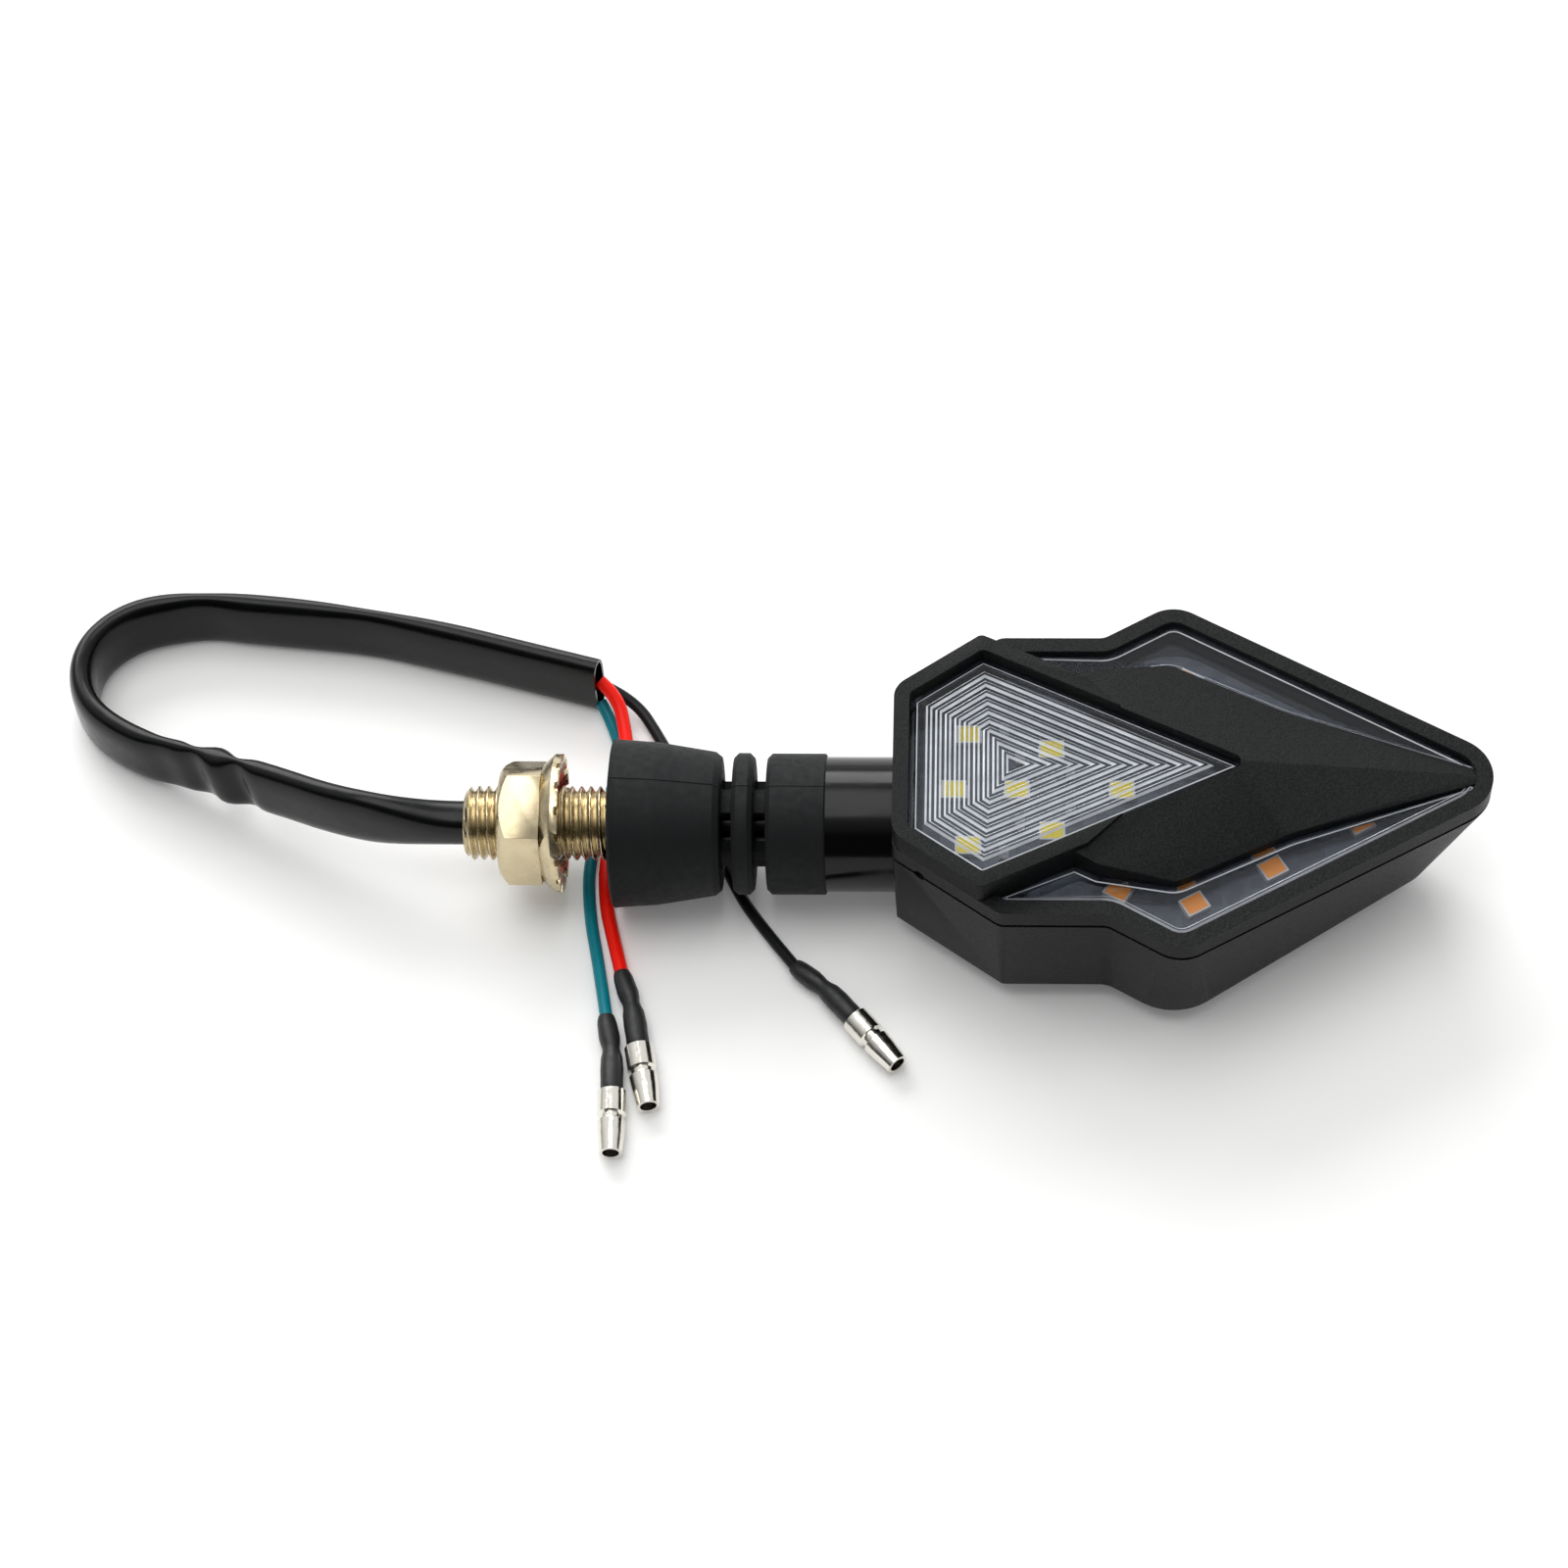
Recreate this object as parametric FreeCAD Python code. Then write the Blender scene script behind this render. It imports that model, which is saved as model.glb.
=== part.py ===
"""LED turn signal indicator for a motorcycle: hollow M10 stud, flexible rubber stalk, kite-shaped lamp head.

The stem runs along X from the threaded stud (left) to the lamp's nose (right), and the lamp faces +Z.
Places along the stem are counted from the boot's seat face, heights from the stem's axis.
"""
import FreeCAD
import Part
import math
import os

os.makedirs("parts", exist_ok=True)

Vector = FreeCAD.Vector

# ---- the frame: everything stands on z = 0 and is centred on x = 0, y = 0 ----
axis_height = 11.35         # stem axis above the surface that the lamp lies on
seat_x = -48.3              # x of the boot's seat face

# ---- stud, nut and lock washer ----
thread_radius = 5.0         # M10 x 1.25
stud_reach = 19.6           # thread that stands out of the boot
stud_bore = 3.0             # radius of the cable hole
relief_radius = 4.3         # run-out groove behind the thread
relief_length = 1.5
stud_head_radius = 7.6
stud_head_length = 3.0
chamfer = 0.8
nut_across_flats = 15.0
nut_corner_angle = 13.7     # degrees from +Z towards +Y
nut_left = -14.8
nut_right = -9.1
nut_bore = 5.05
washer_right = -6.5
washer_radius = 9.3
washer_thickness = 1.1
washer_teeth = 16

# ---- rubber stalk: boot, two ribbed necks, disc and collar ----
boot_left_radius = 11.35
seat_radius = 9.2           # the flat of the seat face; outside it the rubber falls back a little
seat_bore = 5.25            # clearance round the thread, so that only rubber meets the plate
boot_right_radius = 9.6
boot_length = 14.8
neck_length_inner = 1.7
disc_length = 2.7
neck_length_outer = 1.8
collar_length = 7.9
disc_radius = 9.5
collar_radius = 9.45
neck_radius = 5.9
neck_bore = 3.6
window_angle = 54.0         # each neck has four cable windows this wide
edge_round = 0.6

neck_inner_left = boot_length
disc_left = neck_inner_left + neck_length_inner
neck_outer_left = disc_left + disc_length
collar_left = neck_outer_left + neck_length_outer
collar_right = collar_left + collar_length

# ---- arm tube between collar and head ----
tube_radius = 9.03
tube_bore = 5.2
tube_barb_radius = 7.6
tube_spigot_radius = 6.8
head_spigot_radius = 7.2
head_spigot_length = 3.0

# ---- cable through the stalk ----
core_radius = 2.3
core_right = collar_left + 1.6
harness_left = core_right + 1.0
harness_right = 43.5

# ---- lamp head, plan view: corners are (along, across, rounding), upper half from left to nose ----
head_left = 37.95
nose_corner = (122.1, 0.0, 6.0)
head_half = [(head_left, 11.4, 1.5), (51.9, 21.6, 2.5), (65.8, 21.6, 2.5), (75.1, 27.2, 5.0)]
window_tip = (84.7, 0.0, 1.2)
window_half = [(40.0, 10.35, 1.3), (49.6, 17.35, 0.9)]
spear_half = [(58.0, 12.0, 0.5), (64.6, 15.2, 1.0), (74.6, 16.9, 3.0), (89.5, 9.4, 20.0), (114.5, 0.9, 0.3)]
pocket_tip = (106.0, 0.0, 1.0)

rim_top = 12.65
rim_width = 2.15
ring_top = 16.17
ring_width = 2.05
ring_corner_radius = 1.0
ring_end = 63.2             # the flat ring stops here with a 45 degree cut
roof_at_window = 15.75      # height of the spear's facets along the window's edge
roof_slope = 0.25
spear_wall = 2.0
parting_height = 9.65
parting_gap = 0.5
housing_wall = 2.0
wall_bottom = -7.5          # the housing's walls end here, in a bevel down to its flat back
wall_draft = 1.45
bevel_inset = 5.3
nose_back = 6.5             # the walls' lower edge stops this much further back at the nose
nose_back_at_floor = 7.5
low_corner_radius = 8.0     # rounding of the two wide corners, low down

# ---- lenses, board and parts on it ----
lens_fit = 0.1
lens_ledge = 12.2
lens_body_top = 14.0
lens_top = 14.7
lens_margin = 0.9
lens_flange = 1.0
lens_flange_bottom = 11.0
strip_lens_bottom = 10.0
strip_lens_top = 11.7
strip_ledge = 11.0
strip_flange = 0.6          # the strip lenses reach this far behind the rim
board_bottom = 6.4
board_thickness = 1.6
board_inset = 3.4
board_nose_back = 2.2
board_top = board_bottom + board_thickness
led_size = (3.5, 2.8, 0.8)
white_led_places = [(45.9, 0.0), (54.2, 0.0), (68.0, 0.0), (47.8, 8.7), (47.8, -8.7), (58.8, 6.4), (58.8, -6.4)]
amber_led_places = [(67.3, 15.5, -31.0), (77.1, 17.5, 30.0), (87.35, 11.95, 30.0), (98.9, 4.95, 30.0)]
resistor_size = (2.0, 1.25, 0.5)
resistor_places = [(52.5, 9.6), (52.5, -9.6), (54.6, 5.2), (54.6, -5.2), (61.3, 2.8), (61.3, -2.8)]
post_places = [(54.5, 15.0), (54.5, -15.0), (84.0, 0.0)]
post_radius = 2.2
peg_radius = 1.1
peg_hole_radius = 1.25
peg_top = 9.0
slot_radius = 0.8           # drain slots on the parting line, one in each slanting left wall

# ---- cords: sleeve and wires lie on the surface ----
sleeve_width = 10.2
sleeve_thickness = 3.6
lead_radius = 0.8
wire_radii = {"red": 0.95, "teal": 0.85, "black": 0.8}
shrink_radius = 1.5
bullet_radius = 1.95
bullet_tip_radius = 1.5
bullet_length = 9.0
crimp_radius = 1.15
crimp_length = 4.0
surface = -axis_height
red_z, teal_z, black_z = [surface + radius for radius in wire_radii.values()]
band_z = surface + sleeve_width / 2
shrink_z = surface + shrink_radius + 0.05
bullet_z = surface + bullet_radius

sleeve_route = [
    (-19.6, 0.0, 0.0), (-27.5, 0.0, 0.0), (-37.0, 2.3, -1.0), (-47.5, 7.3, -2.8),
    (-58.0, 11.6, -4.6), (-67.5, 15.3, -6.0), (-74.9, 21.2, band_z), (-76.4, 29.6, band_z),
    (-71.2, 36.4, band_z), (-62.0, 38.6, band_z), (-50.0, 37.6, band_z), (-37.5, 35.9, band_z),
    (-25.0, 33.1, band_z), (-13.0, 29.6, band_z), (-3.6, 26.9, band_z),
]
red_route = [
    (-3.6, 26.9, -5.4), (-1.0, 25.2, -6.9), (0.1, 20.6, red_z + 1.8), (0.8, 15.8, red_z + 1.6), (0.5, 9.5, red_z),
    (-1.7, 2.0, red_z), (-1.4, -6.0, red_z), (0.2, -12.4, red_z), (1.5, -17.5, shrink_z),
]
teal_route = [
    (-3.6, 26.0, -9.3), (-1.9, 23.2, teal_z), (-0.3, 17.8, teal_z), (-1.9, 10.0, teal_z),
    (-4.0, 0.5, teal_z), (-3.4, -8.0, teal_z), (-1.6, -16.4, teal_z), (-0.2, -24.3, shrink_z),
]
black_route = [
    (-3.6, 27.7, -7.4), (1.0, 26.6, -9.4), (4.9, 20.6, black_z), (8.8, 12.6, black_z),
    (13.2, 4.0, black_z), (16.4, -4.2, black_z), (20.6, -10.6, black_z), (24.7, -16.3, shrink_z),
]
bullet_starts = {
    "red": (4.4, -29.1, bullet_z), "teal": (1.2, -35.9, bullet_z), "black": (32.9, -24.5, bullet_z),
}
bullet_ends = {"red": (6.1, -38.0), "teal": (1.5, -45.0), "black": (38.6, -31.4)}


# ---- helpers ----
def at(along, across=0.0, up=0.0):
    """A point from its place along the stem, across it, and above its axis."""
    return Vector(seat_x + along, across, axis_height + up)


def mirrored(half, tip=None):
    """The closed outline of a shape that is the same on both sides of the stem's axis."""
    middle = [tip] if tip else []
    return half + middle + [(s, -y, r) for s, y, r in reversed(half)]


def inset(corners, distance, left=None):
    """The outline moved inwards by a distance, with its own distance for the left edge."""
    count = len(corners)
    moved = []
    for i in range(count):
        s, y, r = corners[i]
        before, after = corners[i - 1], corners[(i + 1) % count]
        lines = []
        for a, b, last in ((before, corners[i], i == 0), (corners[i], after, i == count - 1)):
            length = math.hypot(b[0] - a[0], b[1] - a[1])
            normal = ((b[1] - a[1]) / length, (a[0] - b[0]) / length)
            step = left if left is not None and last else distance
            lines.append((normal, normal[0] * a[0] + normal[1] * a[1] + step))
        (n1, c1), (n2, c2) = lines
        cross = n1[0] * n2[1] - n1[1] * n2[0]
        convex = cross < 0
        radius = max(r - distance if convex else r + distance, 0.2)
        moved.append(((c1 * n2[1] - c2 * n1[1]) / cross, (n1[0] * c2 - n2[0] * c1) / cross, radius))
    return moved


def outline(corners, up):
    """A closed wire through the corners, each one rounded by an arc."""
    count = len(corners)
    edges = []
    starts, ends, middles = [], [], []
    for i in range(count):
        p = at(corners[i][0], corners[i][1], up)
        a = at(corners[i - 1][0], corners[i - 1][1], up) - p
        b = at(corners[(i + 1) % count][0], corners[(i + 1) % count][1], up) - p
        a.normalize()
        b.normalize()
        half_turn = (math.pi - a.getAngle(b)) / 2
        tangent = corners[i][2] * math.tan(half_turn)
        towards = a + b
        towards.normalize()
        starts.append(p + a * tangent)
        ends.append(p + b * tangent)
        middles.append(p + towards * corners[i][2] * (1 / math.cos(half_turn) - 1))
    for i in range(count):
        edges.append(Part.Arc(starts[i], middles[i], ends[i]).toShape())
        edges.append(Part.makeLine(ends[i], starts[(i + 1) % count]))
    return Part.Wire(edges)


def plate(corners, low, high):
    """A flat plate with a rounded outline."""
    return Part.Face(outline(corners, low)).extrude(Vector(0, 0, high - low))


def layered(sections):
    """A solid skinned from outline to outline, each given with its height, edge to matching edge."""
    wires = [outline(corners, up) for corners, up in sections]
    faces = [Part.Face(wires[0]), Part.Face(wires[-1])]
    for first, second in zip(wires, wires[1:]):
        for a, b in zip(first.Edges, second.Edges):
            faces.append(Part.makeRuledSurface(a, b))
    shell = Part.makeShell(faces)
    shell.sewShape()
    solid = Part.makeSolid(shell)
    if solid.Volume < 0:
        solid.reverse()
    return solid


def ring_solid(profile):
    """A solid turned about the stem's axis from (along, radius) points."""
    points = [at(s, 0, r) for s, r in profile]
    face = Part.Face(Part.makePolygon(points + points[:1]))
    return face.revolve(at(0), Vector(1, 0, 0), 360)


def rod(left, right, radius, start=(0.0, 0.0)):
    """A plain round bar parallel to the stem."""
    return Part.makeCylinder(radius, right - left, at(left, start[0], start[1]), Vector(1, 0, 0))


def block(size, along, across, low, turn=0.0):
    """A small box centred on a place on the board, turned about its own middle."""
    box = Part.makeBox(size[0], size[1], size[2], Vector(-size[0] / 2, -size[1] / 2, 0))
    box.rotate(Vector(0, 0, 0), Vector(0, 0, 1), turn)
    box.translate(at(along, across, low))
    return box


def pin(place, low, high, radius):
    """An upright round bar on the board's plan."""
    return Part.makeCylinder(radius, high - low, at(place[0], place[1], low))


def route_edges(points, name=None):
    """Straight runs joined by tangent arcs, each as large as its two runs allow."""
    corners = [at(*p) for p in points]
    edges = []
    here = corners[0]
    for before, corner, after in zip(corners, corners[1:], corners[2:]):
        a = before - corner
        b = after - corner
        reach = 0.45 * min(a.Length, b.Length)
        a.normalize()
        b.normalize()
        half_turn = (math.pi - a.getAngle(b)) / 2
        radius = reach / math.tan(half_turn)
        towards = a + b
        towards.normalize()
        middle = corner + towards * radius * (1 / math.cos(half_turn) - 1)
        edges.append(Part.LineSegment(here, corner + a * reach).toShape())
        edges.append(Part.Arc(corner + a * reach, middle, corner + b * reach).toShape())
        here = corner + b * reach
        if name:
            print(f"{name}: turn {math.degrees(2 * half_turn):.0f} deg, radius {radius:.1f} mm")
    edges.append(Part.LineSegment(here, corners[-1]).toShape())
    return edges


def report_volume(name, solid, section_area, edges):
    """Print the solid's volume beside its section times its length."""
    length = sum(edge.Length for edge in edges)
    print(f"{name}: length {length:.1f} mm, volume {solid.Volume:.1f} of {section_area * length:.1f} mm3")


def round_cord(name, points, radius):
    """A round tube along a route."""
    edges = route_edges(points, name)
    start = at(*points[0])
    circle = Part.Wire(Part.makeCircle(radius, start, at(*points[1]) - start))
    solid = Part.Wire(edges).makePipeShell([circle], True, False)
    report_volume(name, solid, math.pi * radius**2, edges)
    return solid


# ---- stud, nut, washer ----
def mounting_stud():
    """Hollow threaded stud with a round head that the rubber boot is moulded round."""
    head_left_face = relief_length
    head_right_face = relief_length + stud_head_length
    return ring_solid([
        (-stud_reach, stud_bore), (-stud_reach, thread_radius - chamfer), (-stud_reach + chamfer, thread_radius),
        (0, thread_radius), (0, relief_radius), (head_left_face, relief_radius),
        (head_left_face, stud_head_radius), (head_right_face, stud_head_radius), (head_right_face, stud_bore),
    ])


def lock_nut():
    """Hexagon nut with its free face chamfered at the corners and a pilot that carries the washer."""
    corner_radius = nut_across_flats / 2 / math.cos(math.pi / 6)
    corners = []
    for k in range(7):
        angle = math.radians(nut_corner_angle + 60 * k)
        corners.append(at(nut_left, corner_radius * math.sin(angle), corner_radius * math.cos(angle)))
    hexagon = Part.Face(Part.makePolygon(corners)).extrude(Vector(nut_right - nut_left, 0, 0))
    flat_radius = nut_across_flats / 2
    rounded = ring_solid([
        (nut_left, nut_bore), (nut_left, flat_radius - 0.4), (nut_left + 1.6, corner_radius + 0.4),
        (nut_right, corner_radius + 0.4), (nut_right, nut_bore),
    ])
    pilot = ring_solid([
        (nut_right, nut_bore), (nut_right, 6.2), (nut_right + 1.0, 6.2), (nut_right + 1.0, nut_bore),
    ])
    return hexagon.common(rounded).fuse(pilot).removeSplitter()


def lock_washer():
    """Dished lock washer with teeth round its rim, loose on the nut's pilot."""
    left = nut_right + 0.05
    inner = 6.28
    dish = ring_solid([
        (left, inner), (left, 7.9), (washer_right - 1.3, washer_radius - 0.25), (washer_right - 1.0, washer_radius),
        (washer_right, washer_radius),
        (washer_right, washer_radius - 0.9), (left + washer_thickness, 7.0), (left + washer_thickness, inner),
    ])
    tooth_gap = Part.makeBox(1.0, 1.1, 2.4, Vector(washer_right - 0.45, -0.55, washer_radius - 1.4))
    for k in range(washer_teeth):
        gap = tooth_gap.copy()
        gap.rotate(Vector(0, 0, 0), Vector(1, 0, 0), 360 / washer_teeth * k)
        gap.translate(at(0))
        dish = dish.cut(gap)
    return dish


# ---- rubber stalk ----
def stalk_base():
    """Boot: a slightly bulging cone, its seat face flat, moulded round the stud's head."""
    bulge = boot_left_radius - 0.45
    body = ring_solid([
        (0, neck_bore), (0, seat_radius), (0.25, boot_left_radius - 0.3), (0.55, boot_left_radius),
        (1.2, boot_left_radius - 0.1),
        (6.3, bulge), (boot_length - 0.8, boot_right_radius + 0.05),
        (boot_length, boot_right_radius - edge_round), (boot_length, neck_bore),
    ])
    return body.cut(stud_envelope())


def stud_envelope():
    """The boot's cavity: the stud's head with its bore filled, and a clearance round the thread's run-out."""
    return ring_solid([
        (-1, 0), (-1, seat_bore), (relief_length, seat_bore), (relief_length, stud_head_radius),
        (relief_length + stud_head_length, stud_head_radius), (relief_length + stud_head_length, 0),
    ])


def stalk_neck(left, length):
    """Four rubber webs between two discs, with cable windows at 45 degrees between them."""
    right = left + length
    webs = ring_solid([(left, neck_bore), (left, neck_radius), (right, neck_radius), (right, neck_bore)])
    reach = 2 * neck_radius
    half = math.radians(window_angle / 2)
    for k in range(4):
        middle = math.radians(45 + 90 * k)
        corners = [at(left, 0, 0)]
        for angle in (middle - half, middle + half):
            corners.append(at(left, reach * math.sin(angle), reach * math.cos(angle)))
        wedge = Part.Face(Part.makePolygon(corners + corners[:1])).extrude(Vector(length, 0, 0))
        webs = webs.cut(wedge)
    return webs


def stalk_disc():
    """Rubber disc between the two necks."""
    left, right = disc_left, disc_left + disc_length
    return ring_solid([
        (left, neck_bore), (left, disc_radius - edge_round), (left + edge_round, disc_radius),
        (right - edge_round, disc_radius), (right, disc_radius - edge_round), (right, neck_bore),
    ])


def tube_plug():
    """The end of the arm tube that the collar grips, with its barb."""
    barb_left = collar_left + 3.0
    return [
        (barb_left, tube_bore), (barb_left, tube_spigot_radius), (barb_left + 0.8, tube_barb_radius),
        (barb_left + 2.0, tube_barb_radius), (barb_left + 2.0, tube_spigot_radius),
        (collar_right, tube_spigot_radius),
    ]


def stalk_collar():
    """Rubber collar moulded over the arm tube's barbed end."""
    plug = [(s, r) for s, r in tube_plug() if r > tube_bore]
    return ring_solid([
        (collar_left, neck_bore + 0.6), (collar_left, collar_radius - edge_round),
        (collar_left + edge_round, collar_radius), (collar_right - 0.2, collar_radius),
        (collar_right, collar_radius - 0.2),
    ] + list(reversed(plug)) + [(tube_plug()[0][0], neck_bore + 0.6)])


def arm_tube():
    """Glossy tube from the collar to the head, stepped down at both ends."""
    return ring_solid(tube_plug() + [
        (collar_right, tube_radius), (head_left, tube_radius), (head_left, head_spigot_radius),
        (head_left + head_spigot_length, head_spigot_radius), (head_left + head_spigot_length, tube_bore),
    ])


# ---- head ----
def head_outline():
    return mirrored(head_half, nose_corner)


def low_outline(distance, left, back):
    """The head's outline further down: moved inwards, its nose drawn back, its wide corners rounder."""
    corners = inset(head_outline(), distance, left)
    for i in (3, 5):
        corners[i] = (corners[i][0], corners[i][1], low_corner_radius)
    s, y, r = corners[4]
    corners[4] = (s - back, y, r)
    return corners


def window_outline():
    return mirrored(window_half, window_tip)


def drain_slots():
    """Two small round slots through the slanting left walls, on the parting line."""
    slots = []
    for side in (1, -1):
        direction = Vector(-0.59, 0.81 * side, 0)
        start = at(41.6, 13.9 * side, parting_height) - direction * 3.0
        slots.append(Part.makeCylinder(slot_radius, 8.0, start, direction))
    return Part.makeCompound(slots)


def rear_housing():
    """Deep shell with drafted walls, a bevelled flat back and three posts for the board."""
    top = parting_height - parting_gap / 2
    shell = layered([
        (head_outline(), top),
        (low_outline(wall_draft, 0.3, nose_back), wall_bottom),
        (low_outline(bevel_inset, 0.6, nose_back_at_floor), surface),
    ])
    cavity = layered([
        (inset(head_outline(), housing_wall, left=2.4), top),
        (low_outline(housing_wall + wall_draft, 2.7, nose_back), wall_bottom + 0.6),
        (low_outline(housing_wall + bevel_inset, 3.0, nose_back_at_floor), surface + housing_wall),
    ])
    shell = shell.cut(cavity)
    shell = shell.cut(rod(head_left - 1, head_left + 5, head_spigot_radius + 0.02))
    for place in post_places:
        post = pin(place, surface + housing_wall - 0.5, board_bottom, post_radius)
        shell = shell.fuse([post, pin(place, board_bottom - 1, peg_top, peg_radius)])
    return shell.cut(drain_slots()).removeSplitter()


def housing_seal():
    """Thin gasket set back in the parting line."""
    low, high = parting_height - parting_gap / 2, parting_height + parting_gap / 2
    outer = plate(inset(head_outline(), 0.6), low, high)
    return outer.cut(plate(inset(head_outline(), 1.8), low - 1, high + 1)).cut(drain_slots())


def roof(height):
    """Everything above the spear's two facets, whose planes rise from the flanks to the ridge."""
    run = math.hypot(window_tip[0] - window_half[1][0], window_half[1][1])
    outward = ((window_half[1][1]) / run, (window_tip[0] - window_half[1][0]) / run)
    above = []
    for side in (1, -1):
        tip = at(window_tip[0], 0, height)
        away = Vector(outward[0], outward[1] * side, 0)
        along = Vector(outward[1], -outward[0] * side, 0)
        reach = 60.0
        section = [
            tip - away * reach + Vector(0, 0, roof_slope * reach),
            tip + away * reach - Vector(0, 0, roof_slope * reach),
            tip + away * reach + Vector(0, 0, reach),
            tip - away * reach + Vector(0, 0, reach),
        ]
        face = Part.Face(Part.makePolygon([p - along * reach for p in section + section[:1]]))
        above.append(face.extrude(along * 2 * reach))
    return above


def spear(grow, low, high):
    """Plan of the centre spear, extruded."""
    return plate(inset(mirrored(spear_half), -grow), low, high)


def kite_outline(grow):
    """The ring's outer outline, which turns tighter at its two side corners than the offset would."""
    corners = inset(window_outline(), -ring_width - grow)
    for i in (1, 3):
        corners[i] = (corners[i][0], corners[i][1], ring_corner_radius)
    return corners


def kite_block(grow, low, high):
    """The raised block round the main window, its right sides running on under the spear."""
    return plate(kite_outline(grow), low, high)


def ring_plan():
    """Outline of the flat ring, cut off at 45 degrees where the spear takes over."""
    outer = kite_outline(0.0)
    corner = outer[1]
    slope = window_half[1][1] / (window_tip[0] - window_half[1][0])
    end_y = corner[1] - slope * (ring_end - corner[0])
    return mirrored([outer[0], corner, (ring_end, end_y, 0.2), (ring_end + 5, end_y - 5, 0.2)])


def front_bezel():
    """Black front moulding: rim, raised ring round the window, and the two-sided spear."""
    low = parting_height + parting_gap / 2
    rim = plate(head_outline(), low, rim_top)
    rim = rim.cut(plate(inset(head_outline(), rim_width), low - 1, rim_top + 1))
    rim = rim.cut(plate(inset(head_outline(), rim_width - strip_flange - lens_fit), low - 1, strip_ledge))
    ring = plate(ring_plan(), low, ring_top)
    centre = kite_block(0.0, low, ring_top).fuse(spear(0.0, low, ring_top))
    pocket = plate(inset(mirrored(spear_half[:3], pocket_tip), spear_wall), low - 1, ring_top)
    for above in roof(roof_at_window):
        centre = centre.cut(above)
    for above in roof(roof_at_window - spear_wall):
        pocket = pocket.cut(above)
    pocket = pocket.cut(kite_block(0.0, low - 1, ring_top))
    bezel = rim.fuse([ring, centre]).cut(pocket)
    bezel = bezel.cut(plate(window_outline(), low - 1, ring_top + 1))
    bezel = bezel.cut(plate(inset(window_outline(), -lens_flange), low - 1, lens_ledge))
    outside = plate(head_outline(), low - 2, ring_top + 1)
    return bezel.common(outside).cut(drain_slots()).removeSplitter()


def drl_lens():
    """Clear lens of the main window: a flange behind the ledge and a raised plateau in front."""
    flange = plate(inset(window_outline(), lens_fit - lens_flange), lens_flange_bottom, lens_ledge)
    body = plate(inset(window_outline(), lens_fit), lens_ledge - 0.2, lens_body_top)
    plateau = plate(inset(window_outline(), lens_margin), lens_body_top - 0.2, lens_top)
    return flange.fuse([body, plateau]).removeSplitter()


def strip_lenses():
    """Clear lenses of the two side strips, between the rim and the centre, split at the nose."""
    low, high = strip_lens_bottom, strip_lens_top
    strips = plate(inset(head_outline(), rim_width + lens_fit), low, high)
    strips = strips.fuse(plate(inset(head_outline(), rim_width - strip_flange), low, strip_ledge))
    strips = strips.cut(kite_block(lens_fit, low - 1, high + 1))
    strips = strips.cut(spear(lens_fit, low - 1, high + 1))
    upper = max(strips.Solids, key=lambda solid: solid.CenterOfMass.y * solid.Volume)
    lower = min(strips.Solids, key=lambda solid: solid.CenterOfMass.y * solid.Volume)
    return upper, lower


def led_board():
    """Board that follows the head's outline, with holes for the housing's pegs."""
    board = plate(low_outline(board_inset, board_inset, board_nose_back), board_bottom, board_top)
    for place in post_places:
        board = board.cut(pin(place, board_bottom - 1, board_top + 1, peg_hole_radius))
    return board


def white_leds():
    """Daytime running LEDs behind the main window."""
    return Part.makeCompound([block(led_size, s, y, board_top) for s, y in white_led_places])


def amber_leds():
    """Turn LEDs of both side strips, turned along the strips."""
    leds = []
    for s, y, turn in amber_led_places:
        leds.append(block(led_size, s, y, board_top, -turn))
        leds.append(block(led_size, s, -y, board_top, turn))
    return Part.makeCompound(leds)


def resistors():
    """Chip resistors on the board."""
    return Part.makeCompound([block(resistor_size, s, y, board_top, 90) for s, y in resistor_places])


def board_lead(across, along):
    """One wire from the harness end up to its pad under the board."""
    points = [(harness_right, across, 0.0), (along, across, 0.0), (along, across, board_bottom)]
    return round_cord("lead", points, lead_radius)


# ---- cords ----
def cable_sleeve():
    """Flattened sleeve standing on its edge, from the stud's hole round to its open end."""
    edges = route_edges(sleeve_route, "cable_sleeve")
    start = at(*sleeve_route[0])
    half_height = sleeve_width / 2 - sleeve_thickness / 2
    half_thickness = sleeve_thickness / 2
    section = Part.Wire([
        Part.makeLine(start + Vector(0, -half_thickness, -half_height), start + Vector(0, -half_thickness, half_height)),
        Part.Arc(
            start + Vector(0, -half_thickness, half_height),
            start + Vector(0, 0, sleeve_width / 2),
            start + Vector(0, half_thickness, half_height),
        ).toShape(),
        Part.makeLine(start + Vector(0, half_thickness, half_height), start + Vector(0, half_thickness, -half_height)),
        Part.Arc(
            start + Vector(0, half_thickness, -half_height),
            start + Vector(0, 0, -sleeve_width / 2),
            start + Vector(0, -half_thickness, -half_height),
        ).toShape(),
    ])
    sweep = Part.BRepOffsetAPI.MakePipeShell(Part.Wire(edges))
    sweep.setBiNormalMode(Vector(0, 0, 1))
    sweep.add(section)
    sweep.build()
    sweep.makeSolid()
    solid = sweep.shape()
    area = Part.Face(section).Area
    report_volume("cable_sleeve", solid, area, edges)
    return solid


def heat_shrink(route, bullet_start):
    """Shrink sleeve from the end of a wire over the terminal's crimp."""
    start, end = at(*route[-1]), at(*bullet_start)
    direction = end - start
    sleeve = Part.makeCylinder(shrink_radius, direction.Length, start, direction)
    back = direction * (-crimp_length / direction.Length)
    return sleeve.cut(Part.makeCylinder(crimp_radius, crimp_length, end, back))


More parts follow.
